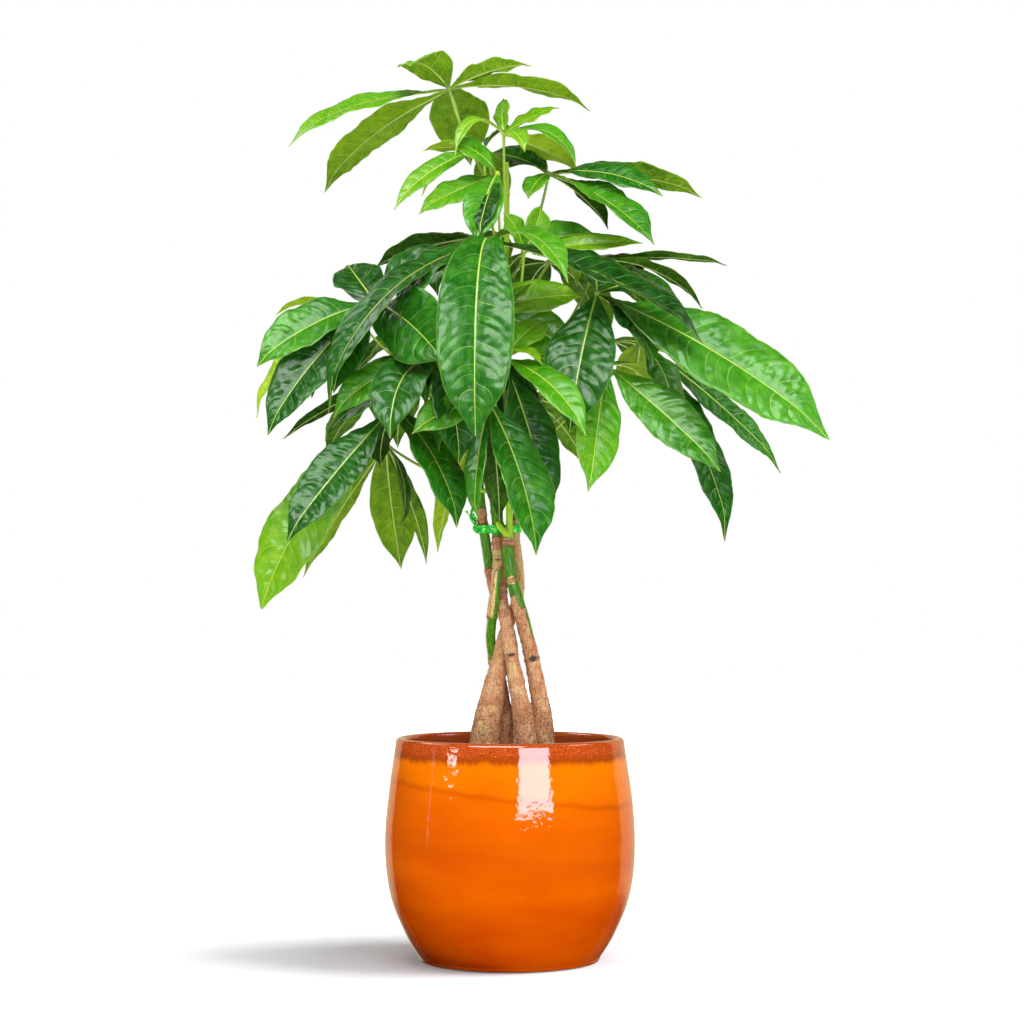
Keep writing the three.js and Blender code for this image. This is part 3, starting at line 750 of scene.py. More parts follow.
@dataclass
class Pot:
    """The round glazed pot: a lathe-turned wall with a rolled lip and a plain foot."""

    wall: float = 7.0
    floor: float = 9.0
    sides: int = 192
    foot_bevel: float = 2.5
    foot_ring: float = 8.0
    foot_recess: float = 2.0
    corner_radius: float = 6.0
    swell: float = 0.2
    outline: tuple[tuple[float, float], ...] = (
        (70, 0), (83, 21), (95, 51), (99.4, 86), (97.6, 124), (91, 172.5),
    )

    def side(self, steps: int) -> Array:
        """The outside from foot to lip, a uniform Catmull-Rom curve through the outline.

        Args:
            steps: How many steps it is read in.

        Returns:
            Radius and height of each point.
        """
        rows = np.array(self.outline, dtype=float)
        rows = np.vstack([rows[0], rows, rows[-1]])
        along = np.linspace(0.0, len(self.outline) - 1, steps + 1)
        _, s, (p0, p1, p2, p3) = stretches(rows, along)
        return hermite(p1, p2, (p2 - p0) / 2, (p3 - p1) / 2, s)

    def radius_at(self, heights: Array) -> Array:
        """Outside radius at some heights."""
        side = self.side(400)
        return np.interp(heights, side[:, 1], side[:, 0])

    def profile(self) -> tuple[Array, Array, Array]:
        """The closed outline from the axis below, out, up, over the lip, down and in again.

        Returns:
            Radius and height of each point, how far inside it is, and whether it is bare foot.
        """
        outer = self.side(110)
        outer = outer[outer[:, 1] > self.foot_bevel]
        turn = np.linspace(-np.pi / 2, 0.15, 8)[:, None]
        base = outer[0, 0] - self.foot_bevel
        bevel = np.hstack([base + self.foot_bevel * np.cos(turn), self.foot_bevel * (1 + np.sin(turn))])
        bevel = bevel[bevel[:, 1] < outer[0, 1]]
        hollow, recess = base - self.foot_ring, self.foot_recess
        under = np.array([[hollow - 30, recess], [hollow - 3, recess], [hollow, 0.4], [hollow + 1, 0]])
        half = self.wall / 2
        turn = np.linspace(0, np.pi, 15)[1:-1, None]
        rim = outer[-1]
        lip = np.hstack([rim[0] - half + half * np.cos(turn), rim[1] + half * np.sin(turn)])
        bend = self.corner_radius
        down = np.linspace(rim[1], self.floor + bend, 60)
        inner = np.stack([self.radius_at(down) - self.wall, down], axis=1)
        turn = np.linspace(0, np.pi / 2, 7)[1:, None]
        inward, level = bend * (1 - np.cos(turn)), self.floor + bend * (1 - np.sin(turn))
        curve = np.hstack([inner[-1, 0] - inward, level])
        rows = np.vstack([under, bevel, outer, lip, inner, curve])
        number = np.arange(len(rows))
        start = len(under) + len(bevel) + len(outer)
        inside = smooth_step(number.astype(float), start + 8, start + len(lip) + 3)
        return rows, inside, (number < len(under) + 4).astype(float)

    def build(self, material: bpy.types.Material) -> None:
        """Turns the profile about the axis. The thrown wall swells slowly round the outside.

        Args:
            material: The glaze.
        """
        rows, inside, foot = self.profile()
        turns = circle(self.sides)
        around = np.ones(self.sides)
        radius, height = rows[:, :1] * around, rows[:, 1:] * around
        belly = lathe(80 * np.ones_like(radius), height, turns)
        swell = self.swell * Ripples(3, 14, (120, 120, 90)).at(belly)
        radius = radius + swell * (1 - inside[:, None]) * smooth_step(radius, 60, 75)
        traits = {"inside": inside[:, None] * around, "foot": foot[:, None] * around}
        add_piece("pot_glazed", skin(lathe(radius, height, turns), traits), [material], "pot")


@dataclass
class Soil:
    """The soil: a filling as wide as the pot's inside, with a crumbly crown."""

    pot: Pot
    edge_height: float = 148.0
    crown_height: float = 153.0
    gap: float = 0.3
    sides: int = 150
    crumbs: int = 260
    crumb_rings: tuple[float, ...] = (0.35, 0.9, 0.8, 0.3)
    crumb_levels: tuple[float, ...] = (-0.9, -0.3, 0.45, 0.9)

    def build(self, material: bpy.types.Material) -> None:
        """Lays a lumpy crown over the filling and strews it with crumbs.

        The crown is an upside-down parabola with two sizes of random swells on it. A crumb is an
        eight-sided ball of four rings, squashed and half sunk.

        Args:
            material: The soil.
        """
        walls = np.linspace(self.pot.floor + self.gap, self.edge_height, 12)
        wide = self.pot.radius_at(walls) - self.pot.wall - self.gap
        drop = self.crown_height - self.edge_height
        shares = np.linspace(1, 0.02, 55)[1:]
        crown = self.crown_height - drop * shares**2
        rows = np.vstack([np.stack([wide, walls], 1), np.stack([wide[-1] * shares, crown], 1)])
        points = lathe(rows[:, :1], rows[:, 1:], circle(self.sides))
        broad, small = Ripples(11, 30, (26, 26, 60)), Ripples(12, 40, (7, 7, 60))
        lumps = 0.9 * broad.at(points) + 0.7 * small.at(points)
        on_top = np.concatenate([np.zeros(len(walls)), smooth_step(1 - shares, 0.0, 0.08)])
        points[..., 2] += (lumps - 0.6) * on_top[:, None]

        draw = np.random.default_rng(21)
        spread = np.sqrt(draw.uniform(0.02, 0.95, self.crumbs)) * (wide[-1] - 2)
        facing = draw.uniform(0, 2 * np.pi, self.crumbs)
        size = draw.uniform(0.8, 2.4, self.crumbs)
        sizes = np.array(self.crumb_rings)[:, None], np.array(self.crumb_levels)[:, None] * 0.8
        parts = [skin(points, {})]
        for reach, way, radius in zip(spread, facing, size):
            base = self.crown_height - drop * (reach / wide[-1]) ** 2
            crumb = lathe(*sizes, circle(8))
            crumb[..., :2] *= draw.uniform(0.8, 1.2, (4, 8))[..., None]
            centre = [reach * math.cos(way), reach * math.sin(way), base - 0.2]
            parts.append(skin(crumb * radius + centre, {}))
        add_piece("soil_crumbly", join(parts), [material], "soil")


# ---- Trunks ----


@dataclass(frozen=True)
class Patch:
    """A stretch of trunk with a skin of its own, facing one way or all the way round."""

    skin: Skin
    low: float
    high: float
    facing: float = 0.0
    spread: float = 400.0

    def share(self, heights: Array, turns: Array) -> Array:
        """How much of each point it covers: full inside, and fading at its edges.

        A scar is shaped like an eye, half as high as it could be times 1 - (way round / half)^2.

        Args:
            heights: Height of each point, in mm.
            turns: Angle of each point round the trunk.

        Returns:
            A share from 0 to 1 for each point.
        """
        off = np.abs((np.degrees(turns) - self.facing + 180) % 360 - 180)
        half = (self.high - self.low) / 2
        away = np.abs(heights - (self.low + self.high) / 2)
        if self.skin is Skin.SCAR:
            lens = half * np.clip(1 - (2 * off / self.spread) ** 2, 0, 1)
            return 1 - smooth_step(away, lens - 0.7, lens + 0.3)
        soft = min(4.0, 0.6 * half)
        round_off = min(30.0, 0.3 * self.spread)
        tall = 1 - smooth_step(away, half - soft, half + soft)
        return tall * (1 - smooth_step(off, self.spread / 2 - round_off, self.spread / 2 + round_off))


@dataclass
class Trunk:
    """One trunk and its shoot: a tapering tube with cork, green rind, scars and rings."""

    name: str
    rows: tuple[tuple[float, float, float, float], ...]
    patches: tuple[Patch, ...]
    rings: tuple[float, ...]
    fresh_from: float
    seed: int
    sides: int = 56
    step: float = 1.1

    def path(self) -> Array:
        """Centre and radius every so often from the foot to the top."""
        rows = np.array(self.rows, dtype=float)
        return even_steps(centripetal(rows, np.linspace(0, 1, 60 * len(rows))), self.step)

    def at(self, height: float) -> tuple[Array, float]:
        """Finds where the trunk passes a height.

        Args:
            height: The height, in mm.

        Returns:
            Its centre and radius there.
        """
        path = self.path()
        values = [float(np.interp(height, path[:, 2], column)) for column in path.T]
        return np.array(values[:3]), values[3]

    def surface(self) -> Surface:
        """The tube, its radius roughened.

        The radius gains slow swells, 2 mm ridges along the fibres and a 0.5 mm ring at each node,
        and the cork stands 0.35 mm proud of the green rind.

        Returns:
            The surface with its skins as traits.
        """
        path = self.path()
        line, radius = path[:, :3], path[:, 3:]
        turns = circle(self.sides)
        heights = path[:, 2:3] * np.ones(self.sides)
        plain = rings_along(line, X_AXIS, radius, turns)
        cover = {key.value: np.zeros_like(heights) for key in Skin}
        for patch in self.patches:
            key = patch.skin.value
            cover[key] = np.maximum(cover[key], patch.share(heights, turns * np.ones_like(heights)))
        fresh = smooth_step(heights, self.fresh_from - 3, self.fresh_from + 3)
        smooth = np.maximum(cover[Skin.GREEN.value], fresh)
        swell = 0.035 * radius * Ripples(self.seed, 16, (22, 22, 60)).at(plain)
        fibre = 0.22 * Ripples(self.seed + 50, 36, (3.2, 3.2, 34)).at(plain) * (1 - 0.75 * smooth)
        warts = 0.4 * Ripples(self.seed + 90, 40, (4, 4, 6)).at(plain) * (1 - 0.85 * smooth)
        collar = sum(0.6 * bell(heights - ring, 1.3) for ring in self.rings)
        sunk = 0.5 * cover[Skin.SCAR.value] + 0.3 * smooth
        radii = radius + swell + fibre + warts + collar - sunk
        points = rings_along(line, X_AXIS, np.maximum(radii, 0.8), turns)
        ring = np.clip(sum(bell(heights - ring, 1.5) for ring in self.rings), 0, 1)
        return skin(points, {**cover, "fresh": fresh, "ring": ring})


@dataclass
class Shoot:
    """A short fresh side shoot, which wears the trunk's traits."""

    points: tuple[Point, ...]
    radius: tuple[float, float]
    sides: int = 24

    def surface(self) -> Surface:
        """The tube, narrowing evenly and rounded off over its last stretch.

        Returns:
            The surface with its skins as traits.
        """
        path = even_steps(centripetal(np.array(self.points), np.linspace(0, 1, 60)), 0.8)
        share = np.linspace(0, 1, len(path))[:, None]
        radii = self.radius[0] + (self.radius[1] - self.radius[0]) * share
        radii = radii * np.sqrt(np.clip(1.02 - share**12, 0, 1))
        none = np.zeros((len(path), self.sides))
        traits = {**{key.value: none for key in Skin}, "fresh": none + 1, "ring": none}
        return skin(rings_along(path, Y_AXIS, radii, circle(self.sides)), traits)


TRUNKS = (
    Trunk("trunk_1", (
        (14, -13, 112, 9.8), (12.2, -13, 160, 9.6), (10.5, -12.5, 190, 8.4), (6.8, -12, 212, 6.8),
        (2.5, -10.5, 234, 5.6), (-1, -9, 252, 5), (-4, -6.5, 272, 4.6), (-6.2, -1, 285, 4.4),
        (-6.5, 3.6, 299, 4.1), (-6.8, 9.3, 318, 3.9), (-8.6, 9.4, 342, 3.7), (-9, 8.6, 380, 3.5),
        (-6, 7, 440, 3.3), (-4, 6, 500, 3.1), (-3, 5, 560, 2.8), (-2.5, 4, 605, 2.4),
        (-2.5, 3, 638, 1.8),
    ), (
        Patch(Skin.TAN, 226, 236, -100, 70), Patch(Skin.SCAR, 240, 243, -90, 90),
        Patch(Skin.TAN, 276, 284, -110, 60), Patch(Skin.GREEN, 347, 640),
    ), (241, 296, 346, 400, 455, 505, 548, 585, 612), 560, 1),
    Trunk("trunk_2", (
        (29, -2, 112, 9), (27.2, -2, 165, 8.6), (26, -2, 190, 8), (22.6, -2, 212, 6.9),
        (18.3, -2, 234, 6), (14, -2.5, 254, 6), (9.4, -6, 272, 5.7), (5.5, -8.5, 287, 5.2),
        (1.5, -9, 301, 4.8), (-1.6, -10, 322, 4.7), (-1.4, -10.5, 332, 4.2), (-0.6, -10.5, 345, 3.2),
        (-1, -12, 370, 3), (-2, -14, 420, 2.7), (-2, -15, 465, 2.3), (-2, -15, 484, 1.8),
    ), (
        Patch(Skin.SCAR, 236, 241.5, -80, 70), Patch(Skin.GREEN, 253, 277, -12, 60),
        Patch(Skin.GREEN, 279, 299, -20, 130), Patch(Skin.GREEN, 290, 299.5),
        Patch(Skin.GREEN, 303, 328), Patch(Skin.TAN, 298, 304, -95, 70),
    ), (238, 301, 331, 362, 408, 450), 335, 2),
    Trunk("trunk_3", (
        (-1, 14, 112, 9.4), (-3, 13, 165, 8.8), (-6.5, 13, 200, 7.2), (-9.5, 14, 222, 5.8),
        (-13.6, 11.8, 240, 4.7), (-15.6, 5, 256, 4.2), (-14.4, -2, 271, 4.1), (-13, -8, 284, 4.1),
        (-11.4, -8.4, 298, 4), (-9.8, -5.4, 314, 3.9), (-10.6, -3.6, 333, 3.8), (-11, -3.8, 345, 3.6),
        (-14, -6, 368, 3.3), (-18, -8, 392, 2.9), (-20, -9, 412, 2.2),
    ), (
        Patch(Skin.GREEN, 240, 272), Patch(Skin.TAN, 240, 274, 170, 90),
        Patch(Skin.GREEN, 272, 309, -30, 170), Patch(Skin.TAN, 274, 314, -155, 150),
        Patch(Skin.TAN, 312, 326, -90, 230), Patch(Skin.SCAR, 316, 318, -90, 100),
        Patch(Skin.GREEN, 335, 420),
    ), (272, 330, 356, 384), 372, 3),
    Trunk("trunk_4", (
        (19, 20, 112, 9.4), (17.5, 18.5, 165, 8.8), (8.5, 15.5, 203, 7), (2.5, 14.5, 230, 5.6),
        (0, 14.5, 256, 4.8), (-5, 14, 273, 4.5), (-9.5, 13, 285, 4.4), (-13.6, 10, 297, 4.3),
        (-16.6, 5, 313, 4.2), (-19.6, 1.5, 333, 4.3), (-22, 1, 347, 4.1), (-24, 1, 372, 3.7),
        (-28, 1, 410, 3.3), (-32, 1, 450, 2.8), (-34, 1, 472, 2.1),
    ), (
        Patch(Skin.GREEN, 311, 340), Patch(Skin.GREEN, 359, 480),
    ), (309, 345, 380, 412, 442), 425, 4),
    Trunk("trunk_5", (
        (-23, -6, 112, 12.4), (-20.5, -5.5, 170, 12), (-17.6, -4.5, 190, 11), (-13.6, -2, 212, 9),
        (-8.9, 1, 234, 6.6), (-5.6, 3, 252, 5.2), (0.4, 4.5, 271, 4.6), (6, 4.8, 286, 4.3),
        (7.6, 4, 300, 4.1), (6.2, 3, 318, 3.8), (4.2, 2.4, 335, 3.6), (4.4, 2.4, 347, 3.5),
        (9, 3, 380, 3.4), (16, 4, 430, 3.1), (22, 4, 480, 2.6), (24, 4, 510, 1.9),
    ), (
        Patch(Skin.TAN, 284, 342), Patch(Skin.GREEN, 350, 520), Patch(Skin.TAN, 196, 201, -70, 34),
        Patch(Skin.TAN, 181, 188, -120, 26), Patch(Skin.TAN, 167, 174, -75, 20),
    ), (262, 343, 388, 424, 462, 490), 455, 5),
)

# A side shoot that leaves the front trunk under its fresh top.
FORK_TRUNK = "trunk_2"
FORK = Shoot(
    ((-1.3, -10.6, 335.5), (-4.2, -12.4, 339.5), (-8, -13, 343.5), (-10.5, -13.4, 348)), (2.9, 2.1)
)


# ---- Tie ----


@dataclass
class Tie:
    """The foil ribbon: one crumpled band round four trunks, a knot and two twisted tails."""

    trunks: tuple[Trunk, ...]
    tied: tuple[int, ...] = (0, 2, 3, 4)
    height: float = 342.0
    band: float = 6.6
    thickness: float = 0.8
    gap: float = 0.6
    step: float = 0.7
    levels: int = 13
    knot: Point = (-27.2, -3.4, 342.6)
    knot_radius: float = 2.3
    tails: tuple[tuple[Point, ...], ...] = (
        ((-27.2, -3.4, 342.6), (-28.5, -4, 347), (-31.5, -5, 351.5), (-35, -6, 356.5)),
        ((-27.2, -3.4, 342.6), (-28, -3.2, 349.5), (-30.4, -3.4, 354.5), (-29.6, -3, 361)),
    )
    twists: tuple[float, ...] = (4.0, -3.0)

    def loop(self) -> Array:
        """The taut loop: for each way out, the circle that reaches furthest that way.

        Returns:
            Points 0.7 mm apart round the trunks, and the way out at each.
        """
        heights = (self.height - self.band / 2, self.height + self.band / 2)
        met = [self.trunks[i].at(height) for i in self.tied for height in heights]
        centres = np.array([centre[:2] for centre, _ in met])
        radii = np.array([radius for _, radius in met])
        turns = circle(720)
        out = np.stack([np.cos(turns), np.sin(turns)], axis=1)
        i = (out @ centres.T + radii).argmax(axis=1)
        points = centres[i] + (radii[i] + self.gap)[:, None] * out
        rows = np.hstack([points, np.zeros((len(turns), 1)), out])
        return even_steps(np.vstack([rows, rows[:1]]), self.step)[:-1]

    def build(self, material: bpy.types.Material) -> None:
        """Carries the band's section round the loop, and adds the knot and tails.

        Args:
            material: The foil.
        """
        rows = self.loop()
        out = unit(rows[:, 3:5])
        levels = np.linspace(-1, 1, self.levels)
        section = np.concatenate([levels, levels[::-1]])
        outer = np.repeat([1.0, 0.0], self.levels)
        shape = np.ones((len(rows), 2 * self.levels))
        spots = np.stack([rows[:, :1] * shape, rows[:, 1:2] * shape, section * 3 * shape], -1)
        crumple = 0.22 * Ripples(31, 40, (5, 5, 4)).at(spots)
        reach = self.thickness * outer * (1 - 0.45 * section**6) + 0.05 * (1 - outer) + crumple
        edge = self.band / 2 + 0.35 * Ripples(32, 20, (9, 9, 50)).at(spots)
        x, y = (rows[:, k : k + 1] + out[:, k : k + 1] * reach for k in range(2))
        rings = np.stack([x, y, self.height + section * edge], axis=-1)
        numbers = np.arange(shape.size).reshape(shape.shape)
        ahead, beside = np.roll(numbers, -1, axis=0), np.roll(numbers, -1, axis=1)
        quads = np.stack([numbers, ahead, np.roll(ahead, -1, axis=1), beside], axis=-1)
        faces = quads.reshape(-1, 4).tolist()
        band = Surface(rings.reshape(-1, 3), faces, [0] * len(faces), {})
        parts = [band, self.knot_ball(), *self.ribbons()]
        add_piece("tie_foil", join(parts), [material], "tie")

    def knot_ball(self) -> Surface:
        """The knot: a ball with creases pressed into it.

        Returns:
            The surface.
        """
        plain = ball(18, 28, 0.12)
        creased = self.knot_radius * (1 + 0.2 * Ripples(33, 24, (1.4, 1.4, 1.4)).at(plain))
        return skin(plain * creased[..., None] * [1.0, 0.9, 1.25] + np.array(self.knot), {})

    def ribbons(self) -> list[Surface]:
        """The tails: a flat oval section, 3.4 mm by 0.8 mm, that twists as it runs out.

        Returns:
            Their surfaces.
        """
        made = []
        turns = circle(20)
        for tail, twist in zip(self.tails, self.twists):
            path = even_steps(centripetal(np.array(tail, dtype=float), np.linspace(0, 1, 80)), 0.4)
            flat = turns - twist * np.linspace(0, 1, len(path))[:, None]
            radii = 1.0 / np.sqrt((np.cos(flat) / 1.7) ** 2 + (np.sin(flat) / 0.38) ** 2)
            made.append(skin(rings_along(path, Y_AXIS, radii, turns), {}))
        return made


# ---- Leaves ----


@dataclass(frozen=True)
class Leaflet:
    """One blade: its tip seen from the hub, width, bow, turn to the front, and its two tones. The tones are
    partly the blade's own green and partly painted light and shade.

    A lead below 1 brings the top of the bow nearer to the hub. A fullness of 0 is drawn by lot.
    The lean tips the blade's upper side away from the trunks.
    """

    right: float
    back: float
    up: float
    width: float
    arch: float
    face: float
    tone: float
    tip_tone_and_painted_light: float
    lead: float = 1.0
    fullness: float = 0.0
    lean: float = 0.3

    def frame(self, hub: Array) -> tuple[Array, float, Array, Array]:
        """Finds how the blade lies.

        Args:
            hub: Where the blades meet.

        Returns:
            The way to the tip, its length, the way its rib bows, and the way across the blade.
        """
        chord = np.array([self.right, self.back, self.up], dtype=float)
        length = float(np.linalg.norm(chord))
        rise = np.array([chord[0], chord[1], 0]) / length + [0, 0, 1]
        rise = rise + self.lean * unit(np.array([hub[0], hub[1], 0.0]))
        rise = unit(rise - rise @ chord / length**2 * chord)
        return chord, length, rise, unit(np.cross(chord, rise))


@dataclass(frozen=True)
class BladeShape:
    """What all blades share: outline, fold, waves, thickness, rib and veins."""

    step: float = 1.35
    thickness: float = 0.55
    edge_thickness: float = 0.32
    root_half_width: float = 0.8
    fold: tuple[float, float] = (3.0, 17.0)
    skew: float = 1.15
    fullness: tuple[float, float] = (0.72, 0.9)
    tip_narrowing: float = 0.55
    waves: tuple[float, float] = (2.0, 3.4)
    wave_height: float = 0.04
    face_turn_end: float = 0.35
    vein_spacing: float = 10.0
    puff: float = 0.9
    crumple: tuple[float, float] = (0.65, 0.09)
    rib_height: float = 1.1

    def outline(self, t: Array, width: float, fullness: float) -> Array:
        """Half the width at a share of the length: half a sine wave, its peak past the middle.

        The wave is raised to a power, and below 1 that squares its shoulders. It is narrowed by
        half over the last fifth, which draws the tip out to a point.

        Args:
            t: Shares of the length.
            width: Width of the blade.
            fullness: The power.

        Returns:
            Half the width at each share.
        """
        swell = np.sin(np.pi * np.clip(t, 0, 1) ** self.skew).clip(0) ** fullness
        half = swell * width / 2 * (1 - self.tip_narrowing * smooth_step(t, 0.8, 1.0))
        return np.maximum(half, self.root_half_width * (1 - 0.6 * smooth_step(t, 0.9, 1.0)))

    def surface(self, hub: Array, leaflet: Leaflet, number: int, seed: int) -> Surface:
        """One closed blade.

        The rib runs straight to the tip and bows along an upward direction by four times
        arch . u . (1 - u), where u is t to the power of the lead. Each half folds up, bellies
        between the side veins, waves at its margin and is crumpled a little at random. The under
        face follows the upper one at the blade's thickness, with a raised rib.

        Args:
            hub: Where the blades meet.
            leaflet: The blade's own sizes.
            number: Its number in the leaf, which sets where its waves begin.
            seed: Seed of its small differences.

        Returns:
            The surface, slot 0 above and slot 1 below.
        """
        draw = np.random.default_rng(seed)
        chord, length, rise, side = leaflet.frame(hub)
        full_turn = -np.sign(side[1]) * math.radians(leaflet.face)

        rows = int(np.clip(length / self.step, 18, 110))
        columns = int(np.clip(leaflet.width / self.step, 8, 30)) // 2 * 2 + 1
        t = np.linspace(0, 1, rows)[:, None]
        s = np.linspace(-1, 1, columns)
        q = s * (0.7 + 0.3 * s**2)
        bow = leaflet.arch * length
        early = t**leaflet.lead
        path = hub + chord * t + rise * 4 * early * (1 - early) * bow
        tangent = unit(np.gradient(path, axis=0))
        flat = np.cross(side, tangent)
        turn = full_turn * smooth_step(t, 0, self.face_turn_end)
        turn = turn + math.radians(draw.uniform(-7, 7)) * smooth_step(t, 0.4, 1)
        normal = flat * np.cos(turn) + side * np.sin(turn)
        across = side * np.cos(turn) - flat * np.sin(turn)

        coarse, fine = Ripples(seed + 7, 18, (17, 17, 17)), Ripples(seed + 8, 24, (6.5, 6.5, 6.5))
        fullness = leaflet.fullness or draw.uniform(*self.fullness)
        half = self.outline(t, leaflet.width, fullness)
        fold = math.radians(draw.uniform(*self.fold))
        out = np.abs(q)
        off = out * half
        arc = np.sin(np.pi * t)
        wave = self.wave_height * leaflet.width * arc
        rippled = wave * out * np.sin(2 * np.pi * draw.uniform(*self.waves) * t + number + q)
        count = float(np.clip(round(length / self.vein_spacing), 7, 17))
        slope = leaflet.width / 2 / length * (0.25 * out + 0.5 * out**3)
        phase = count * (t - slope) + 0.25 * np.tanh(q * 9)
        phase = phase + 0.2 * np.sin(2.2 * phase + seed) * np.sign(q)
        window = smooth_step(out, 0.03, 0.3) * (1 - 0.75 * smooth_step(out, 0.7, 1))
        window = window * smooth_step(t, 0.02, 0.12) * (1 - smooth_step(t, 0.88, 1.0))
        bulge = draw.uniform(0.4, 1.5, 48)[np.clip(phase.astype(int), 0, 23) + 24 * (q > 0)]
        puffed = self.puff * (bulge * np.abs(np.sin(np.pi * phase)) ** 0.8 - 0.5) * window
        puffed = puffed * min(leaflet.width / 40, 1.25)
        frill = 0.010 * leaflet.width * out**3 * np.sin(2 * np.pi * phase * 0.5 + seed) * arc
        belly = 0.05 * leaflet.width * 4 * out * (1 - out) * half / leaflet.width
        hook = -draw.uniform(0.2, 0.9) * 0.05 * length * smooth_step(t, 0.8, 1.0) ** 2
        rise_at = off * math.sin(fold) + rippled + puffed + frill + belly + hook

        thick = self.edge_thickness + (self.thickness - self.edge_thickness) * (1 - out**2)
        fading = 1 - 0.75 * t
        groove = -0.35 * bell(off, 1.7) * fading + 0.45 * bell(off, 0.6) * fading
        rib = self.rib_height * fading * bell(off, 0.45 + 0.45 * fading)
        middle = path[:, None] + (across * half * math.cos(fold))[:, None] * q[None, :, None]
        away = smooth_step(off, 0.5, 7.0) * min(leaflet.width / 40, 1.0)
        crumpled = self.crumple[0] * coarse.at(middle) + self.crumple[1] * fine.at(middle)
        rise_at = rise_at + away * crumpled
        upper = middle + normal[:, None] * (rise_at + thick / 2 + groove)[..., None]
        under = middle + normal[:, None] * (rise_at - thick / 2 - rib)[..., None]

        def round_about(values: Array) -> Array:
            """The columns of the upper face, then those of the under face, which run back."""
            return np.concatenate([values, values[:, ::-1]], axis=1)

        both = round_about(q * np.ones((rows, 1)))
        # The tone runs from the root's to the tip's, which paints the glow of light shining through a tip
        # as well as its own colour.
        tone = leaflet.tone + (leaflet.tip_tone_and_painted_light - leaflet.tone) * smooth_step(t, 0.1, 0.9)
        tone = tone + draw.uniform(-0.04, 0.04)
        traits = {
            "veins": np.stack([round_about(phase), round_about(off * np.sign(q))], axis=-1),
            "blade": np.stack([t * np.ones_like(both), both], axis=-1),
            "tone": tone * np.ones_like(both),
        }
        return closed_blade(np.concatenate([upper, under[:, ::-1]], axis=1), traits)


def closed_blade(rings: Array, traits: dict[str, Array]) -> Surface:
    """Joins a blade's rings and closes its two thin ends.

    Args:
        rings: Points of shape (rings, sides, 3), the upper face's first in each ring.
        traits: What is known at each ring point.

    Returns:
        The surface, slot 0 above and slot 1 below.
    """
    count, sides = rings.shape[:2]
    numbers, _, faces = tube_faces(count, sides)
    half = sides // 2
    i = np.arange(half - 1)
    mirror = sides - 1 - i
    for ends in ((numbers[0], i + 1, i, mirror, mirror - 1), (numbers[-1], i, i + 1, mirror - 1, mirror)):
        faces += np.stack([ends[0][place] for place in ends[1:]], axis=-1).tolist()
    column = [0] * (half - 1) + [1] * (half + 1)
    by_face = column * (count - 1) + [1] * (2 * (half - 1))
    flat = {key: value.reshape(count * sides, *value.shape[2:]) for key, value in traits.items()}
    return Surface(rings.reshape(-1, 3), faces, by_face, flat)


def fan(azimuth: float, reach: float, width: float, drop: float) -> tuple[tuple[float, ...], ...]:
    """Five leaflets spread 46 degrees apart, for the rear leaves. Further out they are smaller.

    Args:
        azimuth: The middle one's way, 0 to the right and 90 to the back.
        reach: Its length seen from above.
        width: Its width.
        drop: How far its tip hangs below the hub.

    Returns:
        One row of sizes for each leaflet.
    """
    rows = []
    for k in (-2, -1, 0, 1, 2):
        angle = math.radians(azimuth + 46 * k)
        share = 1 - 0.13 * abs(k)
        right, back = reach * share * math.cos(angle), reach * share * math.sin(angle)
        # Their low tones are painted shade for leaves at the back of the crown, as well as their own deeper
        # green.
        rows.append((right, back, -drop * (1 - 0.2 * abs(k)), width * share, 0.14, 0, 0.3 - 0.04 * k, 0.4))
    return tuple(rows)


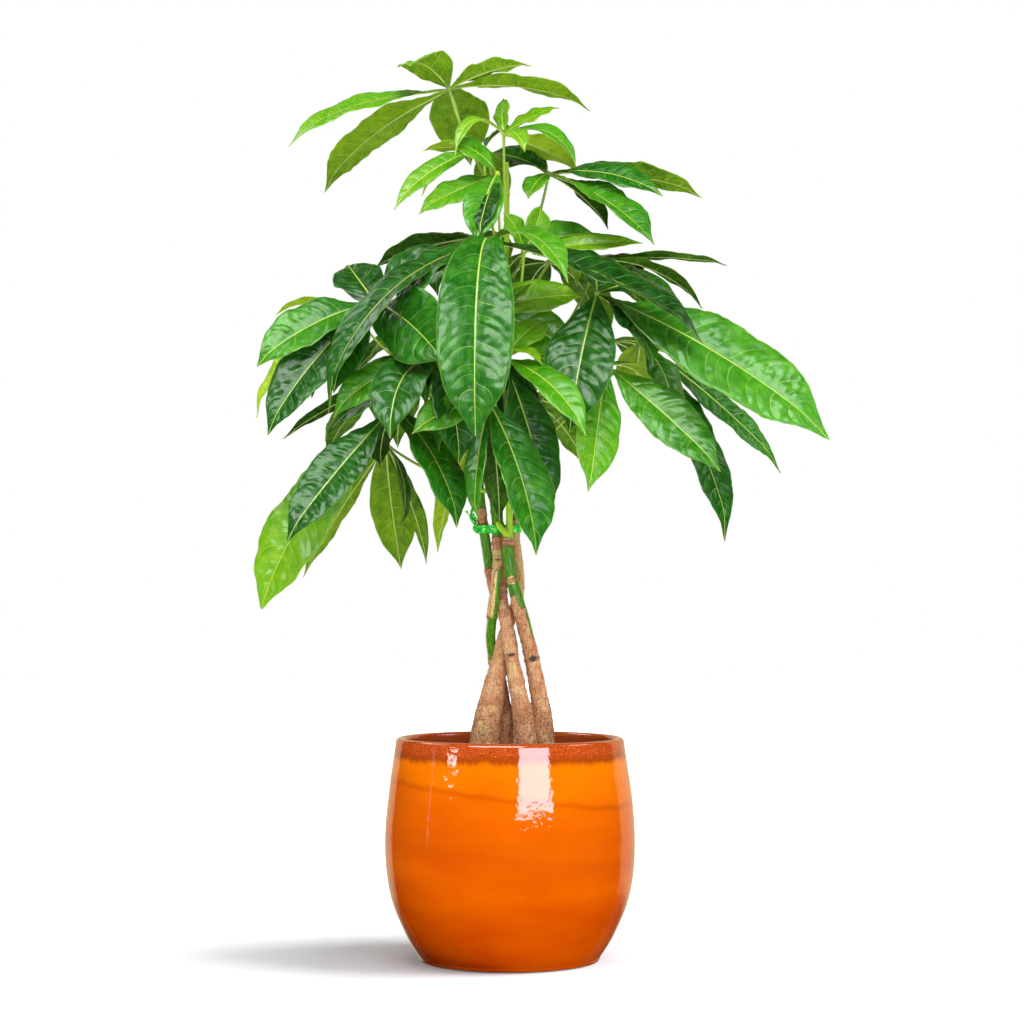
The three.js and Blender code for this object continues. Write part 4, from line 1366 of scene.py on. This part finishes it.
@dataclass
class Leaf:
    """One hand-shaped leaf: a stalk from its trunk to the hub, and the blades around it."""

    name: str
    trunk: int
    height: float
    hub: Point
    age: Age
    leaflets: tuple[tuple[float, ...], ...]
    stalk_radius: float = 1.25
    stalk_sag: float = 0.05
    stalk_bends: tuple[float, float] = (0.3, 0.7)
    hub_radius: float = 2.3
    clearance: float = 0.3

    def stem(self, trunk: Trunk) -> Surface:
        """The stalk: a cubic Bezier from the trunk's side to the hub, swollen at both ends.

        Args:
            trunk: The trunk that carries the leaf.

        Returns:
            The surface.
        """
        centre, radius = trunk.at(self.height)
        hub = np.array(self.hub, dtype=float)
        to_hub = hub - centre
        outward = unit(to_hub * [1, 1, 0])
        length = float(np.linalg.norm(to_hub))
        steepness = abs(to_hub[2] / length)
        start = centre + outward * (radius + self.clearance + 1.3 * steepness)
        sag = self.stalk_sag * length
        low, high = (start + (hub - start) * at + outward * sag - [0, 0, sag] for at in self.stalk_bends)
        t = np.linspace(0, 1, max(int(length / 2), 12))[:, None]
        path = start * (1 - t) ** 3 + low * 3 * t * (1 - t) ** 2 + high * 3 * t**2 * (1 - t) + hub * t**3
        run = t * length
        radii = self.stalk_radius * (1 - 0.15 * t) + 0.9 * bell(run, 5.0) + 0.6 * bell(length - run, 4.5)
        across = np.cross(outward, [0.0, 0.0, 1.0])
        return self.stalk_like(rings_along(path, across, radii, circle(14)))

    def stalk_like(self, rings: Array) -> Surface:
        """A closed skin that wears the stalk's slot, with blank traits."""
        flat = np.zeros(rings.shape[:2] + (2,))
        return skin(rings, {"veins": flat, "blade": flat, "tone": flat[..., 0]}, 2)

    def knuckles(self) -> list[Surface]:
        """The hub, a small ball, and the short thick root of each blade.

        Returns:
            Their surfaces.
        """
        hub = np.array(self.hub, dtype=float)
        made = [self.stalk_like(hub + self.hub_radius * ball(10, 16, 0.15))]
        for row in self.leaflets:
            leaflet = Leaflet(*row)
            chord, length, rise, side = leaflet.frame(hub)
            reach = min(9.0 / length, 0.12)
            t = np.linspace(0, reach, 9)[:, None]
            early = t**leaflet.lead
            path = hub + chord * t + rise * (4 * early * (1 - early) * leaflet.arch * length - 0.5)
            radii = (1.5 - 0.75 * (t / reach) ** 0.7) * min(leaflet.width / 30, 1.0)
            made.append(self.stalk_like(rings_along(path, side, radii, circle(12))))
        return made

    def build(self, trunks: tuple[Trunk, ...], materials: list[bpy.types.Material]) -> None:
        """Builds the whole leaf as one piece.

        Args:
            trunks: All the trunks, for the one that carries it.
            materials: Upper face, under face and stalk.
        """
        shape = BladeShape()
        hub = np.array(self.hub, dtype=float)
        seed = int(self.name[-2:]) * 100
        blades = [shape.surface(hub, Leaflet(*row), i, seed + i) for i, row in enumerate(self.leaflets)]
        surface = join([*blades, *self.knuckles(), self.stem(trunks[self.trunk])])
        add_piece(f"{self.name}_living", surface, materials, self.name)


# Each leaflet row ends with the tones at the root and the tip: partly the blade's own green, partly painted
# light and shade.
LEAVES = (
    Leaf("leaf_01", 0, 606, (-49, 10, 699), Age.GROWN, (
        (-31, -47, 10, 46, 0.17, 13, 0.52, 0.57), (66, -48, 10, 28, 0.05, -18, 0.52, 0.57),
        (115, -8, -17, 31, 0.08, -11, 0.52, 0.57), (-130, -21, -48, 31, 0.078, 35, 0.52, 0.66, 1.25),
        (-107, 41, -75, 43, 0.068, -16, 0.52, 0.57, 1.15), (16, 79, -48, 50, 0.161, 2, 0.48, 0.52))),
    Leaf("leaf_02", 0, 560, (-21, -4, 648), Age.YOUNG, (
        (-49, -3, -1, 18, 0.028, -19, 0.65, 0.7), (-71, -34, -54, 20, 0.08, 50, 0.6, 0.75),
        (-52, 22, -34, 16, 0.1, 0, 0.9, 0.95), (12, 34, -44, 30, 0.12, 0, 0.5, 0.6),
        (22, 16, 20, 22, 0.1, 0, 0.3, 0.35))),
    Leaf("leaf_03", 0, 545, (31, 5, 629), Age.GROWN, (
        (90, -38, -24, 28, 0.089, 48, 0.2, 0.3), (126, 22, -12, 30, 0.055, -27, 0.25, 0.5),
        (82, -63, -66, 38, 0.057, 25, 0.5, 0.35), (51, 43, -37, 26, 0.063, 4, 0.15, 0.1),
        (-49, 41, 25, 41, 0.053, 47, 0.15, 0.15), (-17, -24, -24, 22, 0.1, 0, 0.4, 0.6))),
    Leaf("leaf_04", 0, 530, (-10, -28, 623), Age.YOUNG, (
        (-16, -32, -60, 33, 0.09, 22, 0.42, 0.5), (-63, -8, -31, 31, 0.02, 32, 0.5, 0.7),
        (-38, -8, 24, 26, 0.12, 10, 0.45, 0.5), (-14, -36, -52, 24, 0.05, -5, 0.08, 0.05))),
    Leaf("leaf_05", 1, 470, (-15, -48, 566), Age.GROWN, (
        (-11, -69, -157, 61, 0.19, 12, 0.31, 0.33, 0.62, 0.5),
        (-129, -48, -136, 38, 0.147, 14, 0.12, 0.2, 1, 0.7), (166, -51, -80, 47, 0.056, 10, 0.08, 0.12),
        (60, -70, -40, 30, 0.2, 0, 0.45, 0.6), (-72, -30, -62, 40, 0.14, 10, 0.12, 0.2))),
    Leaf("leaf_06", 3, 450, (-106, -45, 519), Age.GROWN, (
        (-91, -22, -51, 41, 0.062, 50, 0.3, 0.5), (-82, -30, -105, 44, 0.05, 50, 0.12, 0.18),
        (66, 8, 38, 44, 0.08, 40, 0.15, 0.1), (-25, 38, 36, 41, 0.02, 24, 0.1, 0.12),
        (55, -68, -52, 57, 0.063, 64, 0.15, 0.3, 1, 0.62), (40, 10, -86, 44, 0.12, 20, 0.05, 0.1),
        (-50, -22, -76, 46, 0.08, 30, 0.12, 0.2), (-32, -6, -72, 34, 0.06, 72, 0.14, 0.2))),
    Leaf("leaf_07", 3, 440, (-129, 25, 520), Age.YOUNG, (
        (-64, 23, 1, 15, 0.12, -17, 0.7, 0.8), (-83, 14, -84, 28, 0.08, 40, 0.8, 0.95),
        (-30, 60, -30, 30, 0.16, 0, 0.5, 0.6), (20, 50, 10, 28, 0.1, 0, 0.4, 0.5))),
    Leaf("leaf_08", 2, 410, (-59, -52, 474), Age.GROWN, (
        (-32, -55, -66, 42, 0.199, 24, 0.12, 0.15), (-79, -12, -46, 30, 0.1, 50, 0.35, 0.5),
        (-122, 35, -59, 22, 0.03, -24, 0.1, 0.1), (-81, 1, -53, 34, 0.02, 30, 0.15, 0.2),
        (20, -14, -84, 38, 0.14, 0, 0.1, 0.15))),
    Leaf("leaf_09", 2, 372, (-99, -8, 410), Age.YOUNG, (
        (-100, 1, -132, 58, 0.1, 55, 0.6, 0.75, 0.85, 0.6), (-71, 52, -105, 28, 0.02, -10, 0.5, 0.55),
        (11, 35, -100, 40, 0.16, -21, 0.5, 0.56), (12, 0, -68, 16, 0.14, 0, 0.1, 0.15),
        (33, 28, -95, 20, 0.05, 13, 0.3, 0.4), (-28, -36, -26, 26, 0.3, 0, 0.3, 0.35))),
    Leaf("leaf_10", 2, 385, (-91, -42, 436), Age.GROWN, (
        (-82, -40, -105, 40, 0.02, 50, 0.2, 0.12), (52, -25, -94, 46, 0.099, 0, 0.3, 0.25),
        (-12, 22, -44, 34, 0.1, 0, 0.05, 0.1))),
    Leaf("leaf_11", 1, 380, (-16, -60, 438), Age.GROWN, (
        (37, -29, -118, 50, 0.08, -4, 0.24, 0.34), (-11, -20, -91, 21, 0.078, -16, 0.2, 0.35),
        (8, 26, -90, 25, 0.04, -16, 0.2, 0.3), (-59, -27, -25, 29, 0.092, 51, 0.5, 0.6),
        (-43, 52, -114, 26, 0.05, -10, 0.6, 0.8))),
    Leaf("leaf_12", 1, 410, (-5, -58, 473), Age.GROWN, (
        (63, -60, -62, 29, 0.1, 20, 0.5, 0.6), (35, 20, -122, 43, 0.03, 64, 0.1, 0.17),
        (34, 22, 33, 32, 0.1, 0, 0.6, 0.65), (30, -24, -6, 20, 0.2, 0, 0.7, 0.75),
        (-52, -6, -72, 40, 0.14, 10, 0.12, 0.2), (10, 30, -60, 40, 0.1, 0, 0.1, 0.12))),
    Leaf("leaf_13", 4, 440, (68, -48, 525), Age.GROWN, (
        (175, -58, -115, 62, 0.04, 50, 0.32, 0.48, 1, 0.7), (-23, -37, -111, 56, 0.095, -6, 0.22, 0.18),
        (-10, 40, 34, 38, 0.1, 0, 0.2, 0.25), (72, 46, -6, 44, 0.15, 30, 0.1, 0.15),
        (44, -20, -58, 40, 0.1, 20, 0.12, 0.3))),
    Leaf("leaf_14", 4, 420, (104, -5, 491), Age.GROWN, (
        (117, 11, -101, 31, 0.03, 46, 0.15, 0.3), (71, -16, -158, 37, 0.054, 42, 0.12, 0.2),
        (-5, 40, -50, 36, 0.16, 0, 0.65, 0.75), (24, 28, 4, 26, 0.16, 0, 0.2, 0.2),
        (24, -30, -66, 34, 0.12, 10, 0.3, 0.4))),
    Leaf("leaf_15", 4, 405, (75, -40, 470), Age.YOUNG, (
        (87, -39, -84, 39, 0.02, 59, 0.6, 0.4, 1, 0.7), (-14, -35, -101, 38, 0.02, 20, 0.5, 0.6),
        (40, 30, -20, 26, 0.16, 0, 0.6, 0.55))),
    Leaf("leaf_16", 4, 480, (71, 20, 562), Age.GROWN, (
        (106, 8, -2, 20, 0.031, -8, 0.3, 0.3), (87, 3, -39, 22, 0.115, -12, 0.3, 0.3),
        (36, 34, -18, 28, 0.2, 0, 0.25, 0.3), (58, 42, -46, 30, 0.12, 0, 0.12, 0.15))),
    Leaf("leaf_17", 0, 480, (11, -15, 563), Age.YOUNG, (
        (37, -19, -6, 22, 0.076, 43, 0.65, 0.75), (95, -3, 7, 20, 0.02, 36, 0.7, 0.8),
        (60, 45, 20, 31, 0.07, 32, 0.4, 0.5), (14, 6, 38, 24, 0.1, 0, 0.6, 0.7),
        (44, 24, -24, 40, 0.2, 0, 0.55, 0.65), (-30, 30, -60, 40, 0.14, 0, 0.35, 0.4),
        (-16, -8, 30, 22, 0.1, 0, 0.6, 0.7))),
    Leaf("leaf_18", 3, 460, (-20, -26, 513), Age.YOUNG, (
        (77, 4, 14, 32, 0.05, 45, 0.65, 0.75), (37, 2, 24, 14, 0.1, 20, 0.6, 0.7),
        (-48, -14, -78, 40, 0.14, 10, 0.2, 0.25), (70, -8, -36, 40, 0.08, 60, 0.5, 0.55))),
    Leaf("leaf_19", 0, 510, (-30, 20, 580), Age.GROWN, (
        (-81, 21, -20, 28, 0.035, -26, 0.15, 0.2), (-60, 80, -30, 34, 0.15, 0, 0.2, 0.2),
        (0, 90, -20, 36, 0.15, 0, 0.2, 0.25), (30, 44, -16, 28, 0.15, 0, 0.3, 0.35),
        (-30, -40, -52, 34, 0.14, 0, 0.3, 0.35))),
    Leaf("leaf_20", 0, 590, (-5, -14, 658), Age.YOUNG, (
        (-1, 13, 31, 18, 0.07, -27, 0.7, 0.75), (44, 17, 26, 21, 0.02, 2, 0.7, 0.65),
        (59, -4, -28, 21, 0.233, 20, 0.5, 0.55), (-39, -33, -25, 12, 0.35, 20, 0.75, 0.8),
        (17, -36, -20, 18, 0.15, 0, 0.65, 0.75), (61, 34, -22, 30, 0.02, -28, 0.8, 0.9))),
    Leaf("leaf_21", 0, 520, (32, 66, 566), Age.GROWN, fan(62, 112, 38, 60)),
    Leaf("leaf_22", 0, 470, (-42, 84, 520), Age.GROWN, fan(118, 118, 40, 66)),
    Leaf("leaf_23", 4, 450, (84, 62, 500), Age.GROWN, fan(60, 118, 40, 70)),
    Leaf("leaf_24", 3, 430, (-78, 62, 470), Age.GROWN, fan(150, 92, 38, 66)),
    Leaf("leaf_25", 4, 425, (4, 96, 456), Age.GROWN, fan(94, 108, 42, 70)),
)


# ---- Studio ----


def way_to(azimuth: float, elevation: float) -> Vector:
    """The direction to a light. Azimuth 0 is the front and 90 the right, in degrees."""
    a, e = math.radians(azimuth), math.radians(elevation)
    return Vector((math.sin(a) * math.cos(e), -math.cos(a) * math.cos(e), math.sin(e)))


def hang(name: str, data: Any, place: Vector, away: Vector) -> bpy.types.Object:
    """Puts a camera or light in the scene.

    Args:
        name: Its name.
        data: The camera or light.
        place: Where it hangs.
        away: The way that its back faces.

    Returns:
        Its object.
    """
    holder = bpy.data.objects.new(name, data)
    holder.location = place
    holder.rotation_mode = "QUATERNION"
    holder.rotation_quaternion = away.to_track_quat("Z", "Y")
    bpy.context.scene.collection.objects.link(holder)
    return holder


@dataclass(frozen=True)
class Softbox:
    """A flat rectangular light that looks at the plant from one side."""

    name: str
    azimuth: float
    elevation: float
    distance: float
    width: float
    height: float
    radiance: float
    aim_height: float
    seen: Seen = Seen.MIRRORED
    colour: Point = (1.0, 1.0, 1.0)

    def build(self) -> None:
        """Hangs the light. Its power is pi . area . radiance."""
        away = way_to(self.azimuth, self.elevation)
        lamp = bpy.data.lights.new(self.name, "AREA")
        lamp.shape = "RECTANGLE"
        lamp.size, lamp.size_y = self.width, self.height
        lamp.energy = math.pi * self.width * self.height * self.radiance
        lamp.color = self.colour
        holder = hang(self.name, lamp, Vector((0.0, 0.0, self.aim_height)) + away * self.distance, away)
        holder.visible_diffuse = self.seen is Seen.MATT
        holder.visible_glossy = self.seen is Seen.MIRRORED


@dataclass(frozen=True)
class Sun:
    """A distant light that gloss doesn't mirror."""

    name: str
    azimuth: float
    elevation: float
    strength: float
    angle: float

    def build(self, sheet: bpy.types.Object, link: str) -> None:
        """Adds the light.

        Args:
            sheet: The floor.
            link: INCLUDE to light nothing but the floor, or EXCLUDE to light all but it.
        """
        lamp = bpy.data.lights.new(self.name, "SUN")
        lamp.energy, lamp.angle = self.strength, math.radians(self.angle)
        holder = hang(self.name, lamp, Vector(), way_to(self.azimuth, self.elevation))
        holder.visible_glossy = False
        lit = bpy.data.collections.new(f"{self.name}_receivers")
        lit.objects.link(sheet)
        lit.collection_objects[0].light_linking.link_state = link
        holder.light_linking.receiver_collection = lit


@dataclass
class Studio:
    """Camera, lights, white room and floor."""

    camera_at: Point = (0.0016, -1.913, 0.289)
    camera_aim: Point = (0.0016, 0.0, 0.3557)
    lens: float = 84.07
    sensor: float = 36.0
    floor_half: float = 6.0
    softboxes: tuple[Softbox, ...] = (
        Softbox("front_right_box", 23, 10.6, 1.6, 0.9, 0.27, 10.5, 0.14, colour=(0.9, 0.86, 1.0)),
        Softbox("front_left_box", -57, 10.6, 1.7, 0.3, 0.04, 14.0, 0.16),
        Softbox("left_sheen_box", -118, 42, 1.7, 0.8, 0.6, 4.0, 0.4),
        Softbox("front_sheen_box", -15, 35, 1.7, 1.6, 1.1, 9.5, 0.45),
        Softbox("right_sheen_box", 86, 34, 1.7, 0.8, 0.6, 3.2, 0.45),
        Softbox("left_strip", -79, 5, 1.6, 0.03, 0.5, 1.5, 0.12),
        Softbox("top_box", 10, 72, 1.9, 1.4, 1.4, 2.4, 0.3, Seen.MATT),
    )
    key_sun: Sun = Sun("key", 8.0, 46.0, 2.0, 26.0)
    # It draws the soft long shadow to the left, and lights nothing but the floor.
    side_sun: Sun = Sun("side", 84.0, 37.0, 3.5, 38.0)
    fill: float = 0.45
    gloss_front: float = 0.03
    gloss_back: float = 0.7
    gloss_tint: str = "#ffe6bc"

    def build(self) -> None:
        """Sets everything up."""
        lens = bpy.data.cameras.new("camera")
        lens.lens, lens.sensor_width = self.lens, self.sensor
        lens.clip_start, lens.clip_end = 0.05, 50.0
        at = Vector(self.camera_at)
        bpy.context.scene.camera = hang("camera", lens, at, at - Vector(self.camera_aim))
        bpy.context.scene.view_settings.view_transform = "Standard"
        for box in self.softboxes:
            box.build()
        sheet = self.floor()
        self.key_sun.build(sheet, "EXCLUDE")
        self.side_sun.build(sheet, "INCLUDE")
        self.room()

    def room(self) -> None:
        """A plain room, white to the eye.

        It lights evenly, but a gloss mirrors only its bright wall behind the plant, and finds the
        near side of the room dim.
        """
        r = Recipe("room", "worlds")
        r.owner.cycles.sampling_method = "NONE"
        bpy.context.scene.world = r.owner
        where = r.add("TexCoord").outputs["Generated"]
        behind = r.add("VectorMath.DOT_PRODUCT", where, (0.14, 0.99, 0.0))
        mirrored = r.add("MapRange", behind, 0.62, 0.68, self.gloss_front, self.gloss_back)
        level = r.add("SeparateXYZ", where).outputs["Z"]
        mirrored = r.add("Math.MULTIPLY", mirrored, r.add("MapRange", level, -0.3, -0.2, 0.1, 1.0))
        rays = r.add("LightPath").outputs
        lit = r.add("Mix.FLOAT", rays["Is Glossy Ray"], self.fill, mirrored)
        lit = r.add("Mix.FLOAT", rays["Is Camera Ray"], lit, 1.0)
        tint = r.add("Mix.RGBA", rays["Is Glossy Ray"], "#ffffff", self.gloss_tint)
        r.add("OutputWorld", r.add("Background", Color=tint, Strength=lit))

    def floor(self) -> bpy.types.Object:
        """A matt white floor with faint paper grain, glowing faintly away from the plant.

        Returns:
            The floor.
        """
        r = Recipe("white_floor")
        place = r.add("TexCoord").outputs["Object"]
        grain = r.add("TexNoise", Vector=place, Scale=60.0, Detail=2.0)
        far = r.add("VectorMath.LENGTH", place).outputs["Value"]
        shader = r.add(
            "BsdfPrincipled",
            # The faint blue in the white is painted in to cancel the orange light that the pot throws on
            # the floor.
            Base_Color=r.add("ValToRGB", grain, stops=((0.3, "#ecf2f6"), (0.7, "#f2f6fa"))),
            Roughness=0.9,
            IOR=1.2,
            Emission_Color="#ffffff",
            Emission_Strength=r.add("MapRange", far, 0.15, 0.4, 0.06, 0.6),
        )
        mesh = bpy.data.meshes.new("floor")
        half = self.floor_half
        corners = [(-half, -half, 0), (half, -half, 0), (half, half, 0), (-half, half, 0)]
        mesh.from_pydata(corners, [], [(0, 1, 2, 3)])
        mesh.materials.append(r.finish(shader))
        sheet = bpy.data.objects.new("floor", mesh)
        sheet.location.z = -0.0003
        sheet.visible_glossy = False
        bpy.context.scene.collection.objects.link(sheet)
        return sheet


# ---- Finishes ----

# Both blade ramps run from the darkest tone, which paints leaflets in shade, to the palest, which paints
# leaflets in full light.
UPPER = LeafFinish(
    name="waxy_leaf_upper",
    blade=((0.0, "#043800"), (0.26, "#166800"), (0.52, "#469802"), (0.78, "#74aa04"), (1.0, "#a2c20a")),
    veins=((0.0, "#66a44c"), (0.5, "#9cc84a"), (1.0, "#c8e244")),
    rib="#bcd458",
    roughness=0.34,
    vein_share=0.7,
    net_share=0.09,
    relief=0.45,
    wax=0.18,
)
UNDER = LeafFinish(
    name="matt_leaf_underside",
    blade=((0.0, "#0e3400"), (0.28, "#2c5c00"), (0.46, "#5c8600"), (0.7, "#86a80c"), (1.0, "#b0c828")),
    veins=((0.0, "#587a1c"), (0.3, "#7c9a3c"), (0.55, "#a8c450"), (1.0, "#ccdc6c")),
    rib="#c8d880",
    roughness=0.58,
    vein_share=0.65,
    net_share=0.28,
    relief=-1.8,
    shine=0.2,
)
GROWN_STALK = StalkFinish("grown_stalk", "#a8c24a", "#7d9e34")
YOUNG_STALK = StalkFinish("young_stalk", "#c2d84a", "#93bb30")


def main() -> None:
    """Loads the frame, builds every piece and hands the scene over."""
    logging.basicConfig(level=logging.INFO, format="%(name)s: %(message)s")
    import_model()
    Studio().build()
    pot = Pot()
    pot.build(GlazeFinish().material())
    Soil(pot).build(SoilFinish().material())
    bark = BarkFinish().material()
    for trunk in TRUNKS:
        parts = [trunk.surface()] + [FORK.surface()] * (trunk.name == FORK_TRUNK)
        add_piece(f"{trunk.name}_bark", join(parts), [bark], trunk.name)
    Tie(TRUNKS).build(FoilFinish().material())
    upper, under = UPPER.material(), UNDER.material()
    stalks = {Age.GROWN: GROWN_STALK.material(), Age.YOUNG: YOUNG_STALK.material()}
    for leaf in LEAVES:
        leaf.build(TRUNKS, [upper, under, stalks[leaf.age]])


if __name__ == "__main__":
    main()
